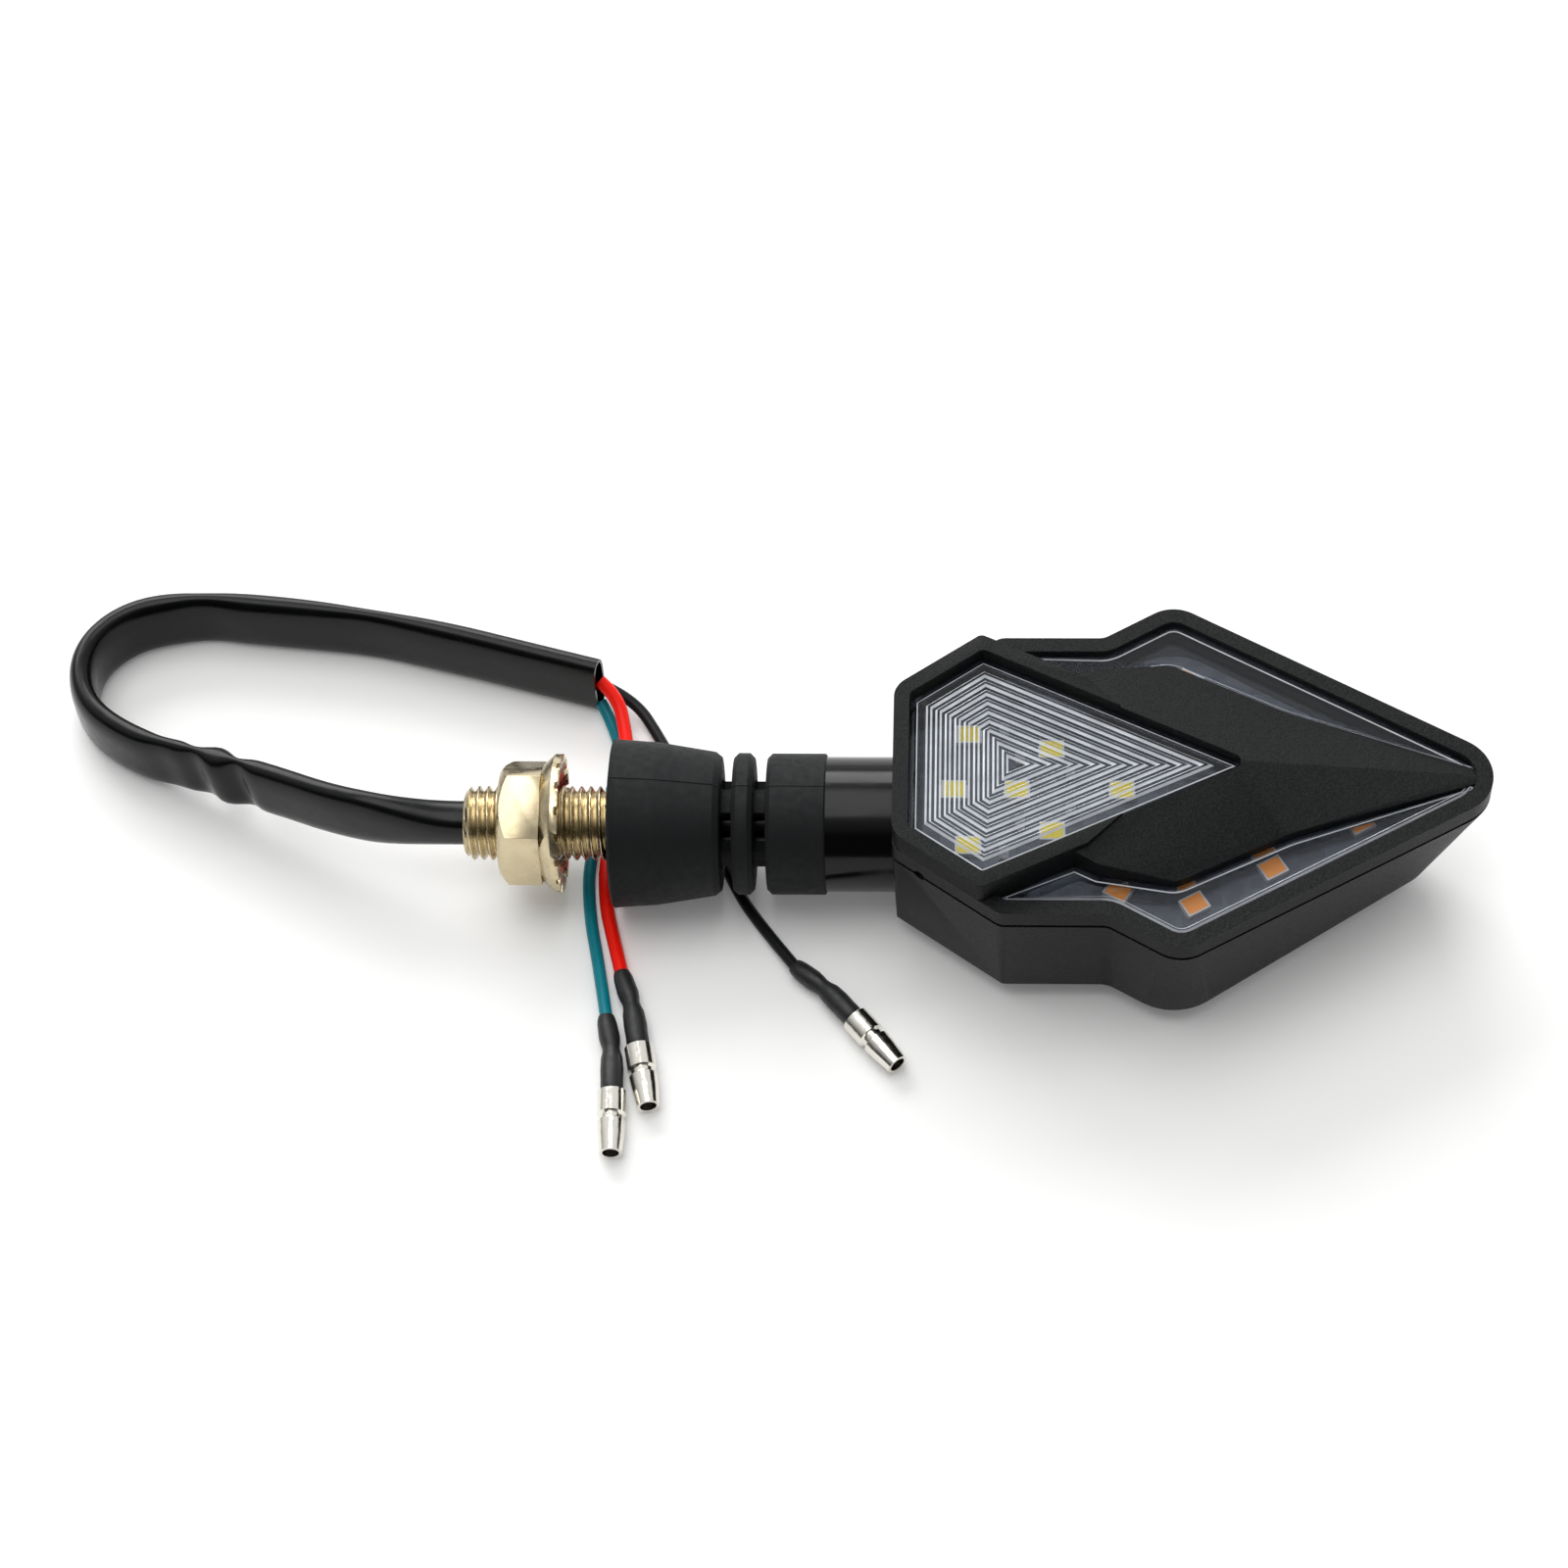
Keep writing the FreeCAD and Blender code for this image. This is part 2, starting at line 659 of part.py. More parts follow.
def bullet_terminal(route, bullet_start, bullet_end):
    """Hollow bullet with a crimp shank, a barrel, a neck groove and a tapered open tip."""
    start = at(*bullet_start)
    shank = at(*route[-1]) - start
    shank.normalize()
    crimp = Part.makeCylinder(crimp_radius, crimp_length, start, shank)
    profile = [
        (0, 0), (0, bullet_radius - 0.1), (0.1, bullet_radius), (3.4, bullet_radius), (3.7, bullet_radius - 0.4),
        (4.2, bullet_radius - 0.4), (4.5, bullet_radius - 0.05), (6.2, bullet_radius - 0.15),
        (bullet_length, bullet_tip_radius), (bullet_length, 1.1), (6.0, 1.1), (6.0, 0),
    ]
    points = [Vector(s, 0, r) for s, r in profile]
    bullet = Part.Face(Part.makePolygon(points + points[:1])).revolve(Vector(0, 0, 0), Vector(1, 0, 0), 360)
    turn = math.degrees(math.atan2(bullet_end[1] - bullet_start[1], bullet_end[0] - bullet_start[0]))
    bullet.rotate(Vector(0, 0, 0), Vector(0, 0, 1), turn)
    bullet.translate(start)
    return bullet.fuse(crimp).removeSplitter()


def all_parts():
    """Every node of the assembly by name."""
    upper_strip, lower_strip = strip_lenses()
    parts = {
        "mounting_stud": mounting_stud(),
        "lock_nut": lock_nut(),
        "lock_washer": lock_washer(),
        "stalk_base": stalk_base(),
        "stalk_neck_inner": stalk_neck(neck_inner_left, neck_length_inner),
        "stalk_disc": stalk_disc(),
        "stalk_neck_outer": stalk_neck(neck_outer_left, neck_length_outer),
        "stalk_collar": stalk_collar(),
        "arm_tube": arm_tube(),
        "rear_housing": rear_housing(),
        "housing_seal": housing_seal(),
        "front_bezel": front_bezel(),
        "drl_lens": drl_lens(),
        "upper_strip_lens": upper_strip,
        "lower_strip_lens": lower_strip,
        "led_board": led_board(),
        "white_leds": white_leds(),
        "amber_leds": amber_leds(),
        "resistors": resistors(),
        "cable_core": rod(-stud_reach, core_right, core_radius),
        "head_harness": rod(harness_left, harness_right, core_radius),
        "cable_sleeve": cable_sleeve(),
    }
    routes = {"red": red_route, "teal": teal_route, "black": black_route}
    lead_places = {"red": (-2.0, 48.5), "teal": (0.0, 50.5), "black": (2.0, 48.5)}
    for colour, route in routes.items():
        start = bullet_starts[colour]
        parts[f"{colour}_wire"] = round_cord(f"{colour}_wire", route, wire_radii[colour])
        parts[f"{colour}_heat_shrink"] = heat_shrink(route, start)
        parts[f"{colour}_bullet_terminal"] = bullet_terminal(route, start, bullet_ends[colour])
        parts[f"{colour}_board_lead"] = board_lead(*lead_places[colour])
    return parts


for name, shape in all_parts().items():
    if not shape.isValid():
        print(name, "is not valid")
    shape.exportStep(f"parts/{name}.step")
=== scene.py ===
import bmesh
import bpy
import math
from mathutils import Matrix, Vector


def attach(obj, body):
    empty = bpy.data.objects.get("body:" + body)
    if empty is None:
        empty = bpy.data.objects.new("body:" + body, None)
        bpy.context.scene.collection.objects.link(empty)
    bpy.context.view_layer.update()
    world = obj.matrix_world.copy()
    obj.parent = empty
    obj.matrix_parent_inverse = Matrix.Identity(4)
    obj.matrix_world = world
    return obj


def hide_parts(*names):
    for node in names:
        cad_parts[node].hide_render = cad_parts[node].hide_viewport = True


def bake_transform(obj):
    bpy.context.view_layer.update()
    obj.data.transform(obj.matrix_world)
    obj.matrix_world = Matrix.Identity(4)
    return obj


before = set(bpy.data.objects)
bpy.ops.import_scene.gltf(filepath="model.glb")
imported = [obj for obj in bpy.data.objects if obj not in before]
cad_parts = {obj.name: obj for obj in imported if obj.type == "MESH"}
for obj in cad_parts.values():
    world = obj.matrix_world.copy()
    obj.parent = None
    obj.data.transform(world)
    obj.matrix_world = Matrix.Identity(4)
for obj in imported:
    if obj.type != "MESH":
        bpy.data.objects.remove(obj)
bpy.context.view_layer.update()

# ---- the indicator's own frame, in millimetres ----
# Its places are (along the stem from the boot's seat face, across the stem, above the stem's axis).
MM = 0.001
SEAT_X = -48.3
AXIS_Z = 11.35


def place(along, across, up):
    """A point of the indicator in the row's frame, in metres."""
    return Vector((along + SEAT_X, across, up + AXIS_Z)) * MM


def smooth_step(value, low, high):
    """0 before low, 1 after high, with a soft turn between."""
    t = min(max((value - low) / (high - low), 0.0), 1.0)
    return t * t * (3 - 2 * t)


# ---- camera ----
CAMERA_PLACE = Vector((0.002364, -0.295931, 0.475486))
CAMERA_AIM = Vector((-0.02538, 0.0064, 0.01135))
CAMERA_ROLL = math.radians(-4.18)
CAMERA_LENS = 94.5


def look_at(obj, target, roll=0.0):
    """Turns a camera or light to face a point."""
    turn = (target - obj.location).to_track_quat("-Z", "Y").to_matrix()
    obj.rotation_euler = (turn @ Matrix.Rotation(roll, 3, "Z")).to_euler()


def make_camera():
    """The camera that the scene is seen through."""
    data = bpy.data.cameras.new("camera")
    data.lens = CAMERA_LENS
    data.sensor_width = 36.0
    data.clip_start = 0.01
    camera = bpy.data.objects.new("camera", data)
    bpy.context.scene.collection.objects.link(camera)
    camera.location = CAMERA_PLACE
    look_at(camera, CAMERA_AIM, CAMERA_ROLL)
    bpy.context.scene.camera = camera


make_camera()


# ---- materials ----
def linear(hex_colour):
    """An sRGB hex colour as linear RGBA."""
    values = [int(hex_colour[i:i + 2], 16) / 255 for i in (1, 3, 5)]
    return [v / 12.92 if v <= 0.04045 else ((v + 0.055) / 1.055) ** 2.4 for v in values] + [1.0]


def add_node(tree, kind, inputs=None, **settings):
    """Adds a node with its settings, and fills its inputs with values or with other nodes' outputs."""
    made = tree.nodes.new(kind)
    for name, value in settings.items():
        setattr(made, name, value)
    for key, value in (inputs or {}).items():
        if isinstance(value, bpy.types.NodeSocket):
            tree.links.new(value, made.inputs[key])
        else:
            made.inputs[key].default_value = value
    return made


def new_material(name, **shader_inputs):
    """A material with one Principled shader; underscores in the input names stand for spaces."""
    material = bpy.data.materials.new(name)
    material.use_nodes = True
    tree = material.node_tree
    tree.nodes.clear()
    inputs = {key.replace("_", " "): value for key, value in shader_inputs.items()}
    shader = add_node(tree, "ShaderNodeBsdfPrincipled", inputs)
    add_node(tree, "ShaderNodeOutputMaterial", {"Surface": shader.outputs[0]})
    return material, tree, shader


def grain(tree, size_mm, detail=2.0, stretch=(1.0, 1.0, 1.0)):
    """Noise on object coordinates whose spots are about size_mm wide."""
    where = add_node(tree, "ShaderNodeTexCoord").outputs["Object"]
    mapped = add_node(tree, "ShaderNodeMapping", {"Vector": where, "Scale": stretch})
    scale = 1.0 / (size_mm * MM)
    inputs = {"Vector": mapped.outputs[0], "Scale": scale, "Detail": detail}
    return add_node(tree, "ShaderNodeTexNoise", inputs).outputs["Fac"]


def spread(tree, value, low, high, start=0.3, end=0.7):
    """Maps a 0 to 1 pattern to the range from low to high."""
    inputs = {"Value": value, "From Min": start, "From Max": end, "To Min": low, "To Max": high}
    return add_node(tree, "ShaderNodeMapRange", inputs).outputs[0]


def blend_colours(tree, factor, first, second):
    """A colour between two hex colours, by a pattern. A Mix node takes its colours at sockets 6 and 7."""
    inputs = {0: factor, 6: linear(first), 7: linear(second)}
    return add_node(tree, "ShaderNodeMix", inputs, data_type="RGBA").outputs[2]


def bump(tree, shader, height, depth_mm):
    """Bumps a shader's surface by a 0 to 1 pattern of the given depth."""
    made = add_node(tree, "ShaderNodeBump", {"Height": height, "Distance": depth_mm * MM, "Strength": 1.0})
    tree.links.new(made.outputs[0], shader.inputs["Normal"])


def moulded_abs():
    """Black ABS moulded in a spark-eroded tool: a fine even grain that scatters light in tiny sparkles."""
    material, tree, shader = new_material("black_abs_spark_texture", IOR=1.5)
    fine = grain(tree, 0.26, 2.0)
    tree.links.new(blend_colours(tree, fine, "#060707", "#17191A"), shader.inputs["Base Color"])
    tree.links.new(spread(tree, fine, 0.3, 0.55), shader.inputs["Roughness"])
    tree.links.new(spread(tree, fine, 0.1, 0.2, 0.4, 0.7), shader.inputs["Specular IOR Level"])
    bump(tree, shader, fine, 0.08)
    return material


def moulded_rubber():
    """Black moulded rubber: dull, faintly grey where it has bloomed, and smoother than the plastic."""
    material, tree, shader = new_material("black_stalk_rubber", IOR=1.5, Specular_IOR_Level=0.22)
    bloom = grain(tree, 4.0, 4.0)
    tree.links.new(blend_colours(tree, bloom, "#101213", "#17191A"), shader.inputs["Base Color"])
    tree.links.new(spread(tree, grain(tree, 1.0), 0.58, 0.72), shader.inputs["Roughness"])
    bump(tree, shader, grain(tree, 0.3), 0.008)
    return material


def polished_abs():
    """Black ABS from a polished tool: deep gloss with a faint moulding wave and light scuffs."""
    material, tree, shader = new_material(
        "black_abs_polished", IOR=1.54, Specular_IOR_Level=0.2, Base_Color=linear("#040405"))
    scuffs = grain(tree, 0.8, 4.0, (0.15, 1.0, 1.0))
    tree.links.new(spread(tree, scuffs, 0.1, 0.2), shader.inputs["Roughness"])
    bump(tree, shader, grain(tree, 5.0), 0.008)
    return material


def nickel_plating():
    """Bright nickel on machined steel: warm and satin, mottled where the plating bath left it uneven."""
    material, tree, shader = new_material("nickel_plated_steel", Metallic=1.0)
    mottle = grain(tree, 2.4, 2.0)
    tree.links.new(blend_colours(tree, mottle, "#BFB08E", "#D6C8A8"), shader.inputs["Base Color"])
    tree.links.new(spread(tree, grain(tree, 1.2, 2.0), 0.2, 0.32), shader.inputs["Roughness"])
    bump(tree, shader, grain(tree, 0.9, 2.0), 0.004)
    return material


def tinned_brass():
    """Tin on rolled brass: near-white mirror with fine rolling lines."""
    material, tree, shader = new_material("bright_tin_on_brass", Metallic=1.0, Base_Color=linear("#E6E3DA"))
    tree.links.new(spread(tree, grain(tree, 0.4, 3.0), 0.08, 0.22), shader.inputs["Roughness"])
    bump(tree, shader, grain(tree, 0.9, 2.0), 0.02)
    return material


def see_through(tree, shader, share, tint):
    """Lets what is behind show through a shader, except for the given share of it."""
    clear = add_node(tree, "ShaderNodeBsdfTransparent", {"Color": linear(tint)})
    mixed = add_node(tree, "ShaderNodeMixShader", {0: share, 1: clear.outputs[0], 2: shader.outputs[0]})
    tree.links.new(mixed.outputs[0], tree.nodes["Material Output"].inputs["Surface"])


def clear_polycarbonate():
    """Polished clear polycarbonate: seen through from the front, and a mirror where it turns away."""
    material, tree, shader = new_material(
        "clear_polycarbonate", Base_Color=linear("#F2F6FC"), Metallic=1.0, IOR=1.58)
    facing = add_node(tree, "ShaderNodeLayerWeight", {"Blend": 0.5}).outputs["Facing"]
    tree.links.new(spread(tree, grain(tree, 8.0), 0.03, 0.07), shader.inputs["Roughness"])
    see_through(tree, shader, spread(tree, facing, 0.04, 0.6, 0.2, 1.0), "#F4F6FA")
    return material


def painted_glint_polycarbonate():
    """The flanks of the lens's light ridges: the same plastic, but milky white and mostly opaque, a painted
    highlight standing in for the bright lines that light leaves on them.
    """
    material, tree, shader = new_material("painted_glint_polycarbonate_flanks", Base_Color=linear("#F6FAFF"), IOR=1.58)
    tree.links.new(spread(tree, grain(tree, 1.2), 0.16, 0.3), shader.inputs["Roughness"])
    # Painted highlight: the flanks are mostly opaque milky white, so they read as bright lines under any
    # light.
    see_through(tree, shader, spread(tree, grain(tree, 3.0), 0.72, 0.94), "#E6ECF5")
    return material


def solder_mask():
    """Dark solder mask over glass laminate: semi-gloss, with the copper's edges faintly raised."""
    material, tree, shader = new_material("dark_solder_mask", IOR=1.5)
    where = add_node(tree, "ShaderNodeTexCoord").outputs["Object"]
    tracks = add_node(
        tree, "ShaderNodeTexVoronoi", {"Vector": where, "Scale": 1 / (2.6 * MM), "Randomness": 0.75},
        distance="CHEBYCHEV", feature="F1")
    edge = spread(tree, tracks.outputs["Distance"], 0.0, 1.0, 0.30, 0.34)
    tree.links.new(blend_colours(tree, edge, "#3B3D42", "#4A4D53"), shader.inputs["Base Color"])
    tree.links.new(spread(tree, grain(tree, 1.5), 0.3, 0.42), shader.inputs["Roughness"])
    bump(tree, shader, edge, 0.03)
    return material


def phosphor(name, dark, light):
    """LED phosphor in silicone: grainy and saturated, softly glossy, with a faint painted glow: it emits its
    own colour as if lit.
    """
    material, tree, shader = new_material(name, IOR=1.42, Emission_Strength=0.16)
    colour = blend_colours(tree, grain(tree, 0.35, 3.0), dark, light)
    tree.links.new(colour, shader.inputs["Base Color"])
    # Painted glow: the phosphor's colour is also emitted, so it shines without being lit.
    tree.links.new(colour, shader.inputs["Emission Color"])
    tree.links.new(spread(tree, grain(tree, 0.6), 0.3, 0.5), shader.inputs["Roughness"])
    return material


def led_package():
    """White moulded LED package."""
    material, tree, shader = new_material("white_led_package", IOR=1.55)
    tree.links.new(blend_colours(tree, grain(tree, 0.5), "#DAD8CE", "#EFEDE4"), shader.inputs["Base Color"])
    tree.links.new(spread(tree, grain(tree, 0.4), 0.4, 0.55), shader.inputs["Roughness"])
    return material


def chip_resistor():
    """Thick-film chip: black glaze over a white ceramic body with tinned ends along its length."""
    material, tree, shader = new_material("chip_resistor_glaze", IOR=1.5)
    glaze = grain(tree, 0.5, 2.0)
    tree.links.new(blend_colours(tree, glaze, "#17181A", "#B9B6AE"), shader.inputs["Base Color"])
    tree.links.new(spread(tree, grain(tree, 0.4), 0.25, 0.45), shader.inputs["Roughness"])
    return material


def extruded_pvc(name, dark, light, rough_low, rough_high, wave_mm, depth_mm):
    """Extruded PVC: flexible, satin, with long faint waves from handling."""
    material, tree, shader = new_material(name, IOR=1.53, Specular_IOR_Level=0.2)
    tree.links.new(blend_colours(tree, grain(tree, 3.0, 3.0), dark, light), shader.inputs["Base Color"])
    tree.links.new(spread(tree, grain(tree, 1.4, 3.0), rough_low, rough_high), shader.inputs["Roughness"])
    bump(tree, shader, grain(tree, wave_mm, 2.0), depth_mm)
    return material


def shrink_tube():
    """Polyolefin heat-shrink: dull black with the small puckers of shrinking."""
    material, tree, shader = new_material("black_heat_shrink", IOR=1.5)
    tree.links.new(blend_colours(tree, grain(tree, 2.0), "#151617", "#1F2021"), shader.inputs["Base Color"])
    tree.links.new(spread(tree, grain(tree, 0.8), 0.38, 0.55), shader.inputs["Roughness"])
    bump(tree, shader, grain(tree, 1.1, 2.0), 0.05)
    return material


def studio_floor():
    """Matte white sweep under the part."""
    material, tree, shader = new_material("white_studio_card", IOR=1.45)
    tree.links.new(blend_colours(tree, grain(tree, 60.0), "#F4F4F3", "#F8F8F7"), shader.inputs["Base Color"])
    shader.inputs["Roughness"].default_value = 0.9
    shader.inputs["Emission Color"].default_value = (1, 1, 1, 1)
    shader.inputs["Emission Strength"].default_value = 0.1
    return material


ABS = moulded_abs()
RUBBER = moulded_rubber()
POLISHED = polished_abs()
NICKEL = nickel_plating()
TINNED = tinned_brass()
CLEAR = clear_polycarbonate()
# Painted highlight material for the lens ridges' flanks and edges.
PAINTED_GLINT = painted_glint_polycarbonate()
BOARD = solder_mask()
PHOSPHOR_YELLOW = phosphor("yellow_led_phosphor", "#EBCB14", "#FBE42E")
PHOSPHOR_AMBER = phosphor("amber_led_phosphor", "#F58504", "#FFA014")
PACKAGE = led_package()
CHIP = chip_resistor()
SLEEVE_PVC = extruded_pvc("black_sleeve_pvc", "#070808", "#0B0C0D", 0.16, 0.28, 7.0, 0.1)
RED_PVC = extruded_pvc("red_wire_pvc", "#FA1003", "#FF1D06", 0.3, 0.42, 2.0, 0.01)
TEAL_PVC = extruded_pvc("teal_wire_pvc", "#00717F", "#028594", 0.3, 0.42, 2.0, 0.01)
BLACK_PVC = extruded_pvc("black_wire_pvc", "#101112", "#17181A", 0.3, 0.42, 2.0, 0.01)
SHRINK = shrink_tube()


# ---- making pieces ----
DOUBLED = 1e-7      # a computed skin's vertices that are this close are one, in metres
CAD_DOUBLED = 2e-6  # and a CAD mesh's


def outward(mesh):
    """Joins doubled vertices and turns all faces outwards."""
    shell = bmesh.new()
    shell.from_mesh(mesh)
    bmesh.ops.remove_doubles(shell, verts=shell.verts, dist=DOUBLED)
    bmesh.ops.recalc_face_normals(shell, faces=shell.faces)
    shell.to_mesh(mesh)
    shell.free()


def closed_mesh(name, vertices, faces):
    """A mesh of vertices and faces that all face outwards."""
    mesh = bpy.data.meshes.new(name)
    mesh.from_pydata([tuple(v) for v in vertices], [], faces)
    outward(mesh)
    return mesh


def add_piece(name, mesh, body, materials, smooth_angle=None, replaced=()):
    """Links a mesh as a piece, with its materials, shading and body, and hides the CAD nodes it stands for.
    """
    piece = bpy.data.objects.new(name, mesh)
    bpy.context.scene.collection.objects.link(piece)
    for material in materials:
        mesh.materials.append(material)
    if smooth_angle is not None:
        mesh.shade_smooth()
        mesh.set_sharp_from_angle(angle=math.radians(smooth_angle))
    if body:
        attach(piece, body)
    if replaced:
        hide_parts(*replaced)
    return piece


def plain_mesh(obj, name):
    """The evaluated object as a plain mesh; the object itself is removed."""
    bpy.context.view_layer.update()
    evaluated = obj.evaluated_get(bpy.context.evaluated_depsgraph_get())
    mesh = bpy.data.meshes.new_from_object(evaluated)
    mesh.name = name
    bpy.data.objects.remove(obj)
    return mesh


def dress(node, material):
    """Gives a CAD node its material."""
    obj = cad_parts[node]
    for holder in obj.material_slots:
        holder.material = material


def ring_loops(loops, joined=False):
    """Vertices and faces of a skin over loops of equally many points, capped or joined end to end."""
    vertices = [point for loop in loops for point in loop]
    count = len(loops[0])
    faces = []
    pairs = len(loops) if joined else len(loops) - 1
    for i in range(pairs):
        first, second = i * count, (i + 1) % len(loops) * count
        for j in range(count):
            k = (j + 1) % count
            faces.append((first + j, first + k, second + k, second + j))
    if not joined:
        faces.append(tuple(range(count)))
        faces.append(tuple((len(loops) - 1) * count + j for j in range(count)))
    return vertices, faces


def join_skins(skins):
    """Several skins' vertices and faces as one."""
    vertices, faces = [], []
    for points, sides in skins:
        faces += [tuple(index + len(vertices) for index in side) for side in sides]
        vertices += points
    return vertices, faces


# ---- cords ----
SURFACE = -AXIS_Z
SLEEVE_WIDTH = 10.2
SLEEVE_THICKNESS = 3.6
WIRE_RADII = {"red": 0.95, "teal": 0.85, "black": 0.8}
SHRINK_RADIUS = 1.5
BULLET_RADIUS = 1.95
RED_Z, TEAL_Z, BLACK_Z = [SURFACE + radius for radius in WIRE_RADII.values()]
BAND_Z = SURFACE + SLEEVE_WIDTH / 2
SHRINK_Z = SURFACE + SHRINK_RADIUS + 0.05

SLEEVE_ROUTE = [
    (-19.6, 0.0, 0.0), (-27.5, 0.0, 0.0), (-37.0, 2.3, -1.0), (-47.5, 7.3, -2.8),
    (-58.0, 11.6, -4.6), (-67.5, 15.3, -6.0), (-74.9, 21.2, BAND_Z), (-76.4, 29.6, BAND_Z),
    (-71.2, 36.4, BAND_Z), (-62.0, 38.6, BAND_Z), (-50.0, 37.6, BAND_Z), (-37.5, 35.9, BAND_Z),
    (-25.0, 33.1, BAND_Z), (-13.0, 29.6, BAND_Z), (-3.6, 26.9, BAND_Z),
]
# Behind the boot the red wire crosses over the teal one.
WIRE_ROUTES = {
    "red": [
        (-3.6, 26.9, -5.4), (-1.0, 25.2, -6.9), (0.1, 20.6, RED_Z + 1.8),
        (0.8, 15.8, RED_Z + 1.6), (0.5, 9.5, RED_Z), (-1.7, 2.0, RED_Z),
        (-1.4, -6.0, RED_Z), (0.2, -12.4, RED_Z), (1.5, -17.5, SHRINK_Z),
    ],
    "teal": [
        (-3.6, 26.0, -9.3), (-1.9, 23.2, TEAL_Z), (-0.3, 17.8, TEAL_Z), (-1.9, 10.0, TEAL_Z),
        (-4.0, 0.5, TEAL_Z), (-3.4, -8.0, TEAL_Z), (-1.6, -16.4, TEAL_Z), (-0.2, -24.3, SHRINK_Z),
    ],
    "black": [
        (-3.6, 27.7, -7.4), (1.0, 26.6, -9.4), (4.9, 20.6, BLACK_Z), (8.8, 12.6, BLACK_Z),
        (13.2, 4.0, BLACK_Z), (16.4, -4.2, BLACK_Z), (20.6, -10.6, BLACK_Z), (24.7, -16.3, SHRINK_Z),
    ],
}
WIRE_MATERIALS = {"red": RED_PVC, "teal": TEAL_PVC, "black": BLACK_PVC}
CORD_BODY = "mount_side"


def route_curve(name, route):
    """A smooth curve whose control points are the route's points."""
    data = bpy.data.curves.new(name, "CURVE")
    data.dimensions = "3D"
    data.resolution_u = 12
    spline = data.splines.new("NURBS")
    spline.points.add(len(route) - 1)
    for point, corner in zip(spline.points, route):
        point.co = (*place(*corner), 1.0)
    spline.order_u = 3
    spline.use_endpoint_u = True
    curve = bpy.data.objects.new(name, data)
    bpy.context.scene.collection.objects.link(curve)
    return curve


def curve_points(name, route):
    """Points along a route's smooth curve."""
    mesh = plain_mesh(route_curve(name, route), name)
    points = [v.co.copy() for v in mesh.vertices]
    bpy.data.meshes.remove(mesh)
    return points


def travelled(points):
    """Distance from the first point to each point."""
    total = [0.0]
    for a, b in zip(points, points[1:]):
        total.append(total[-1] + (b - a).length)
    return total


def wire(colour):
    """One insulated wire from the sleeve's open end to its terminal."""
    route = WIRE_ROUTES[colour]
    length = travelled(curve_points(colour, route))[-1]
    piece = route_curve(f"{colour}_insulated_wire", route)
    piece.data.bevel_depth = WIRE_RADII[colour] * MM
    piece.data.bevel_resolution = 5
    piece.data.use_fill_caps = True
    piece.data.materials.append(WIRE_MATERIALS[colour])
    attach(piece, CORD_BODY)
    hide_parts(f"{colour}_wire")
    on_it = [heat_shrink(colour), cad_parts[f"{colour}_bullet_terminal"]]


SLEEVE_SIDES = 40
SLEEVE_WALL = 0.45
SLEEVE_MOUTH = 12.0             # the hollow end can be looked into this far
SLEEVE_AT_STUD = (2.95, 2.5)    # half height and half thickness where the stud's bore lets it out
SLEEVE_FLATTENS = (0.5, 15.0)   # distances from the stud between which it goes flat
SLEEVE_ROUNDING = (0.75, 0.62)  # 1 is an ellipse, and less gives squarer corners: across, up
# Where handling has dented the sleeve or let it swell: (distance from the stud, depth, reach).
DENTS = [
    (33.0, 0.9, 1.5), (36.6, -0.5, 1.6), (40.0, 0.8, 1.8), (45.0, 0.45, 3.0), (88.0, 0.45, 4.0),
    (112.0, 0.4, 7.0),
]


def sleeve_section(centre, forward, half_height, half_thickness, wall):
    """Rounded flat loop across the sleeve's path, standing on its edge, as far in as the wall says."""
    side = Vector((-forward.y, forward.x, 0.0)).normalized()
    tall = forward.cross(side).normalized()
    loop = []
    for k in range(SLEEVE_SIDES):
        angle = 2 * math.pi * k / SLEEVE_SIDES
        c, s = math.cos(angle), math.sin(angle)
        across = math.copysign(abs(c) ** SLEEVE_ROUNDING[0], c) * (half_thickness - wall)
        up = math.copysign(abs(s) ** SLEEVE_ROUNDING[1], s) * (half_height - wall)
        loop.append(centre + (side * across + tall * up) * MM)
    return loop


def sleeve_size(distance):
    """Half height and half thickness of the sleeve, in millimetres, at a distance from the stud."""
    flat = smooth_step(distance, *SLEEVE_FLATTENS)
    height, thickness = SLEEVE_AT_STUD
    height += (SLEEVE_WIDTH / 2 - height) * flat
    thickness += (SLEEVE_THICKNESS / 2 - thickness) * flat
    for middle, depth, reach in DENTS:
        thickness -= depth * math.exp(-((distance - middle) / reach) ** 2)
    return height, thickness


def cable_sleeve():
    """Flattened PVC sleeve, hollow at its open end."""
    points = curve_points("sleeve", SLEEVE_ROUTE)
    distance = travelled(points)

    def section(i, wall):
        ahead = points[min(i + 1, len(points) - 1)] - points[max(i - 1, 0)]
        return sleeve_section(points[i], ahead.normalized(), *sleeve_size(distance[i] / MM), wall)

    outside = range(len(points))
    inside = [i for i in reversed(outside) if distance[-1] - distance[i] < SLEEVE_MOUTH * MM]
    loops = [section(i, 0.0) for i in outside] + [section(i, SLEEVE_WALL) for i in inside]
    mesh = closed_mesh("flat_cable_sleeve", *ring_loops(loops))
    piece = add_piece("flat_cable_sleeve", mesh, CORD_BODY, [SLEEVE_PVC], 60, ("cable_sleeve",))


SHRINK_PROFILE = [  # (share of the length, radius)
    (0.0, 1.05), (0.04, 1.2), (0.1, 1.32), (0.28, 1.42), (0.36, 1.3), (0.42, 1.16), (0.48, 1.22),
    (0.56, 1.46), (0.72, 1.55), (0.86, 1.5), (0.93, 1.52), (0.98, 1.42), (1.0, 1.25),
]
SHRINK_ENDS = {"red": (4.4, -29.1), "teal": (1.2, -35.9), "black": (32.9, -24.5)}   # (along, across)
SHRINK_SIDES = 28
SHRINK_SAG = 0.35       # how far the middle stands to one side
SHRINK_PUCKER = 0.02    # share of the radius


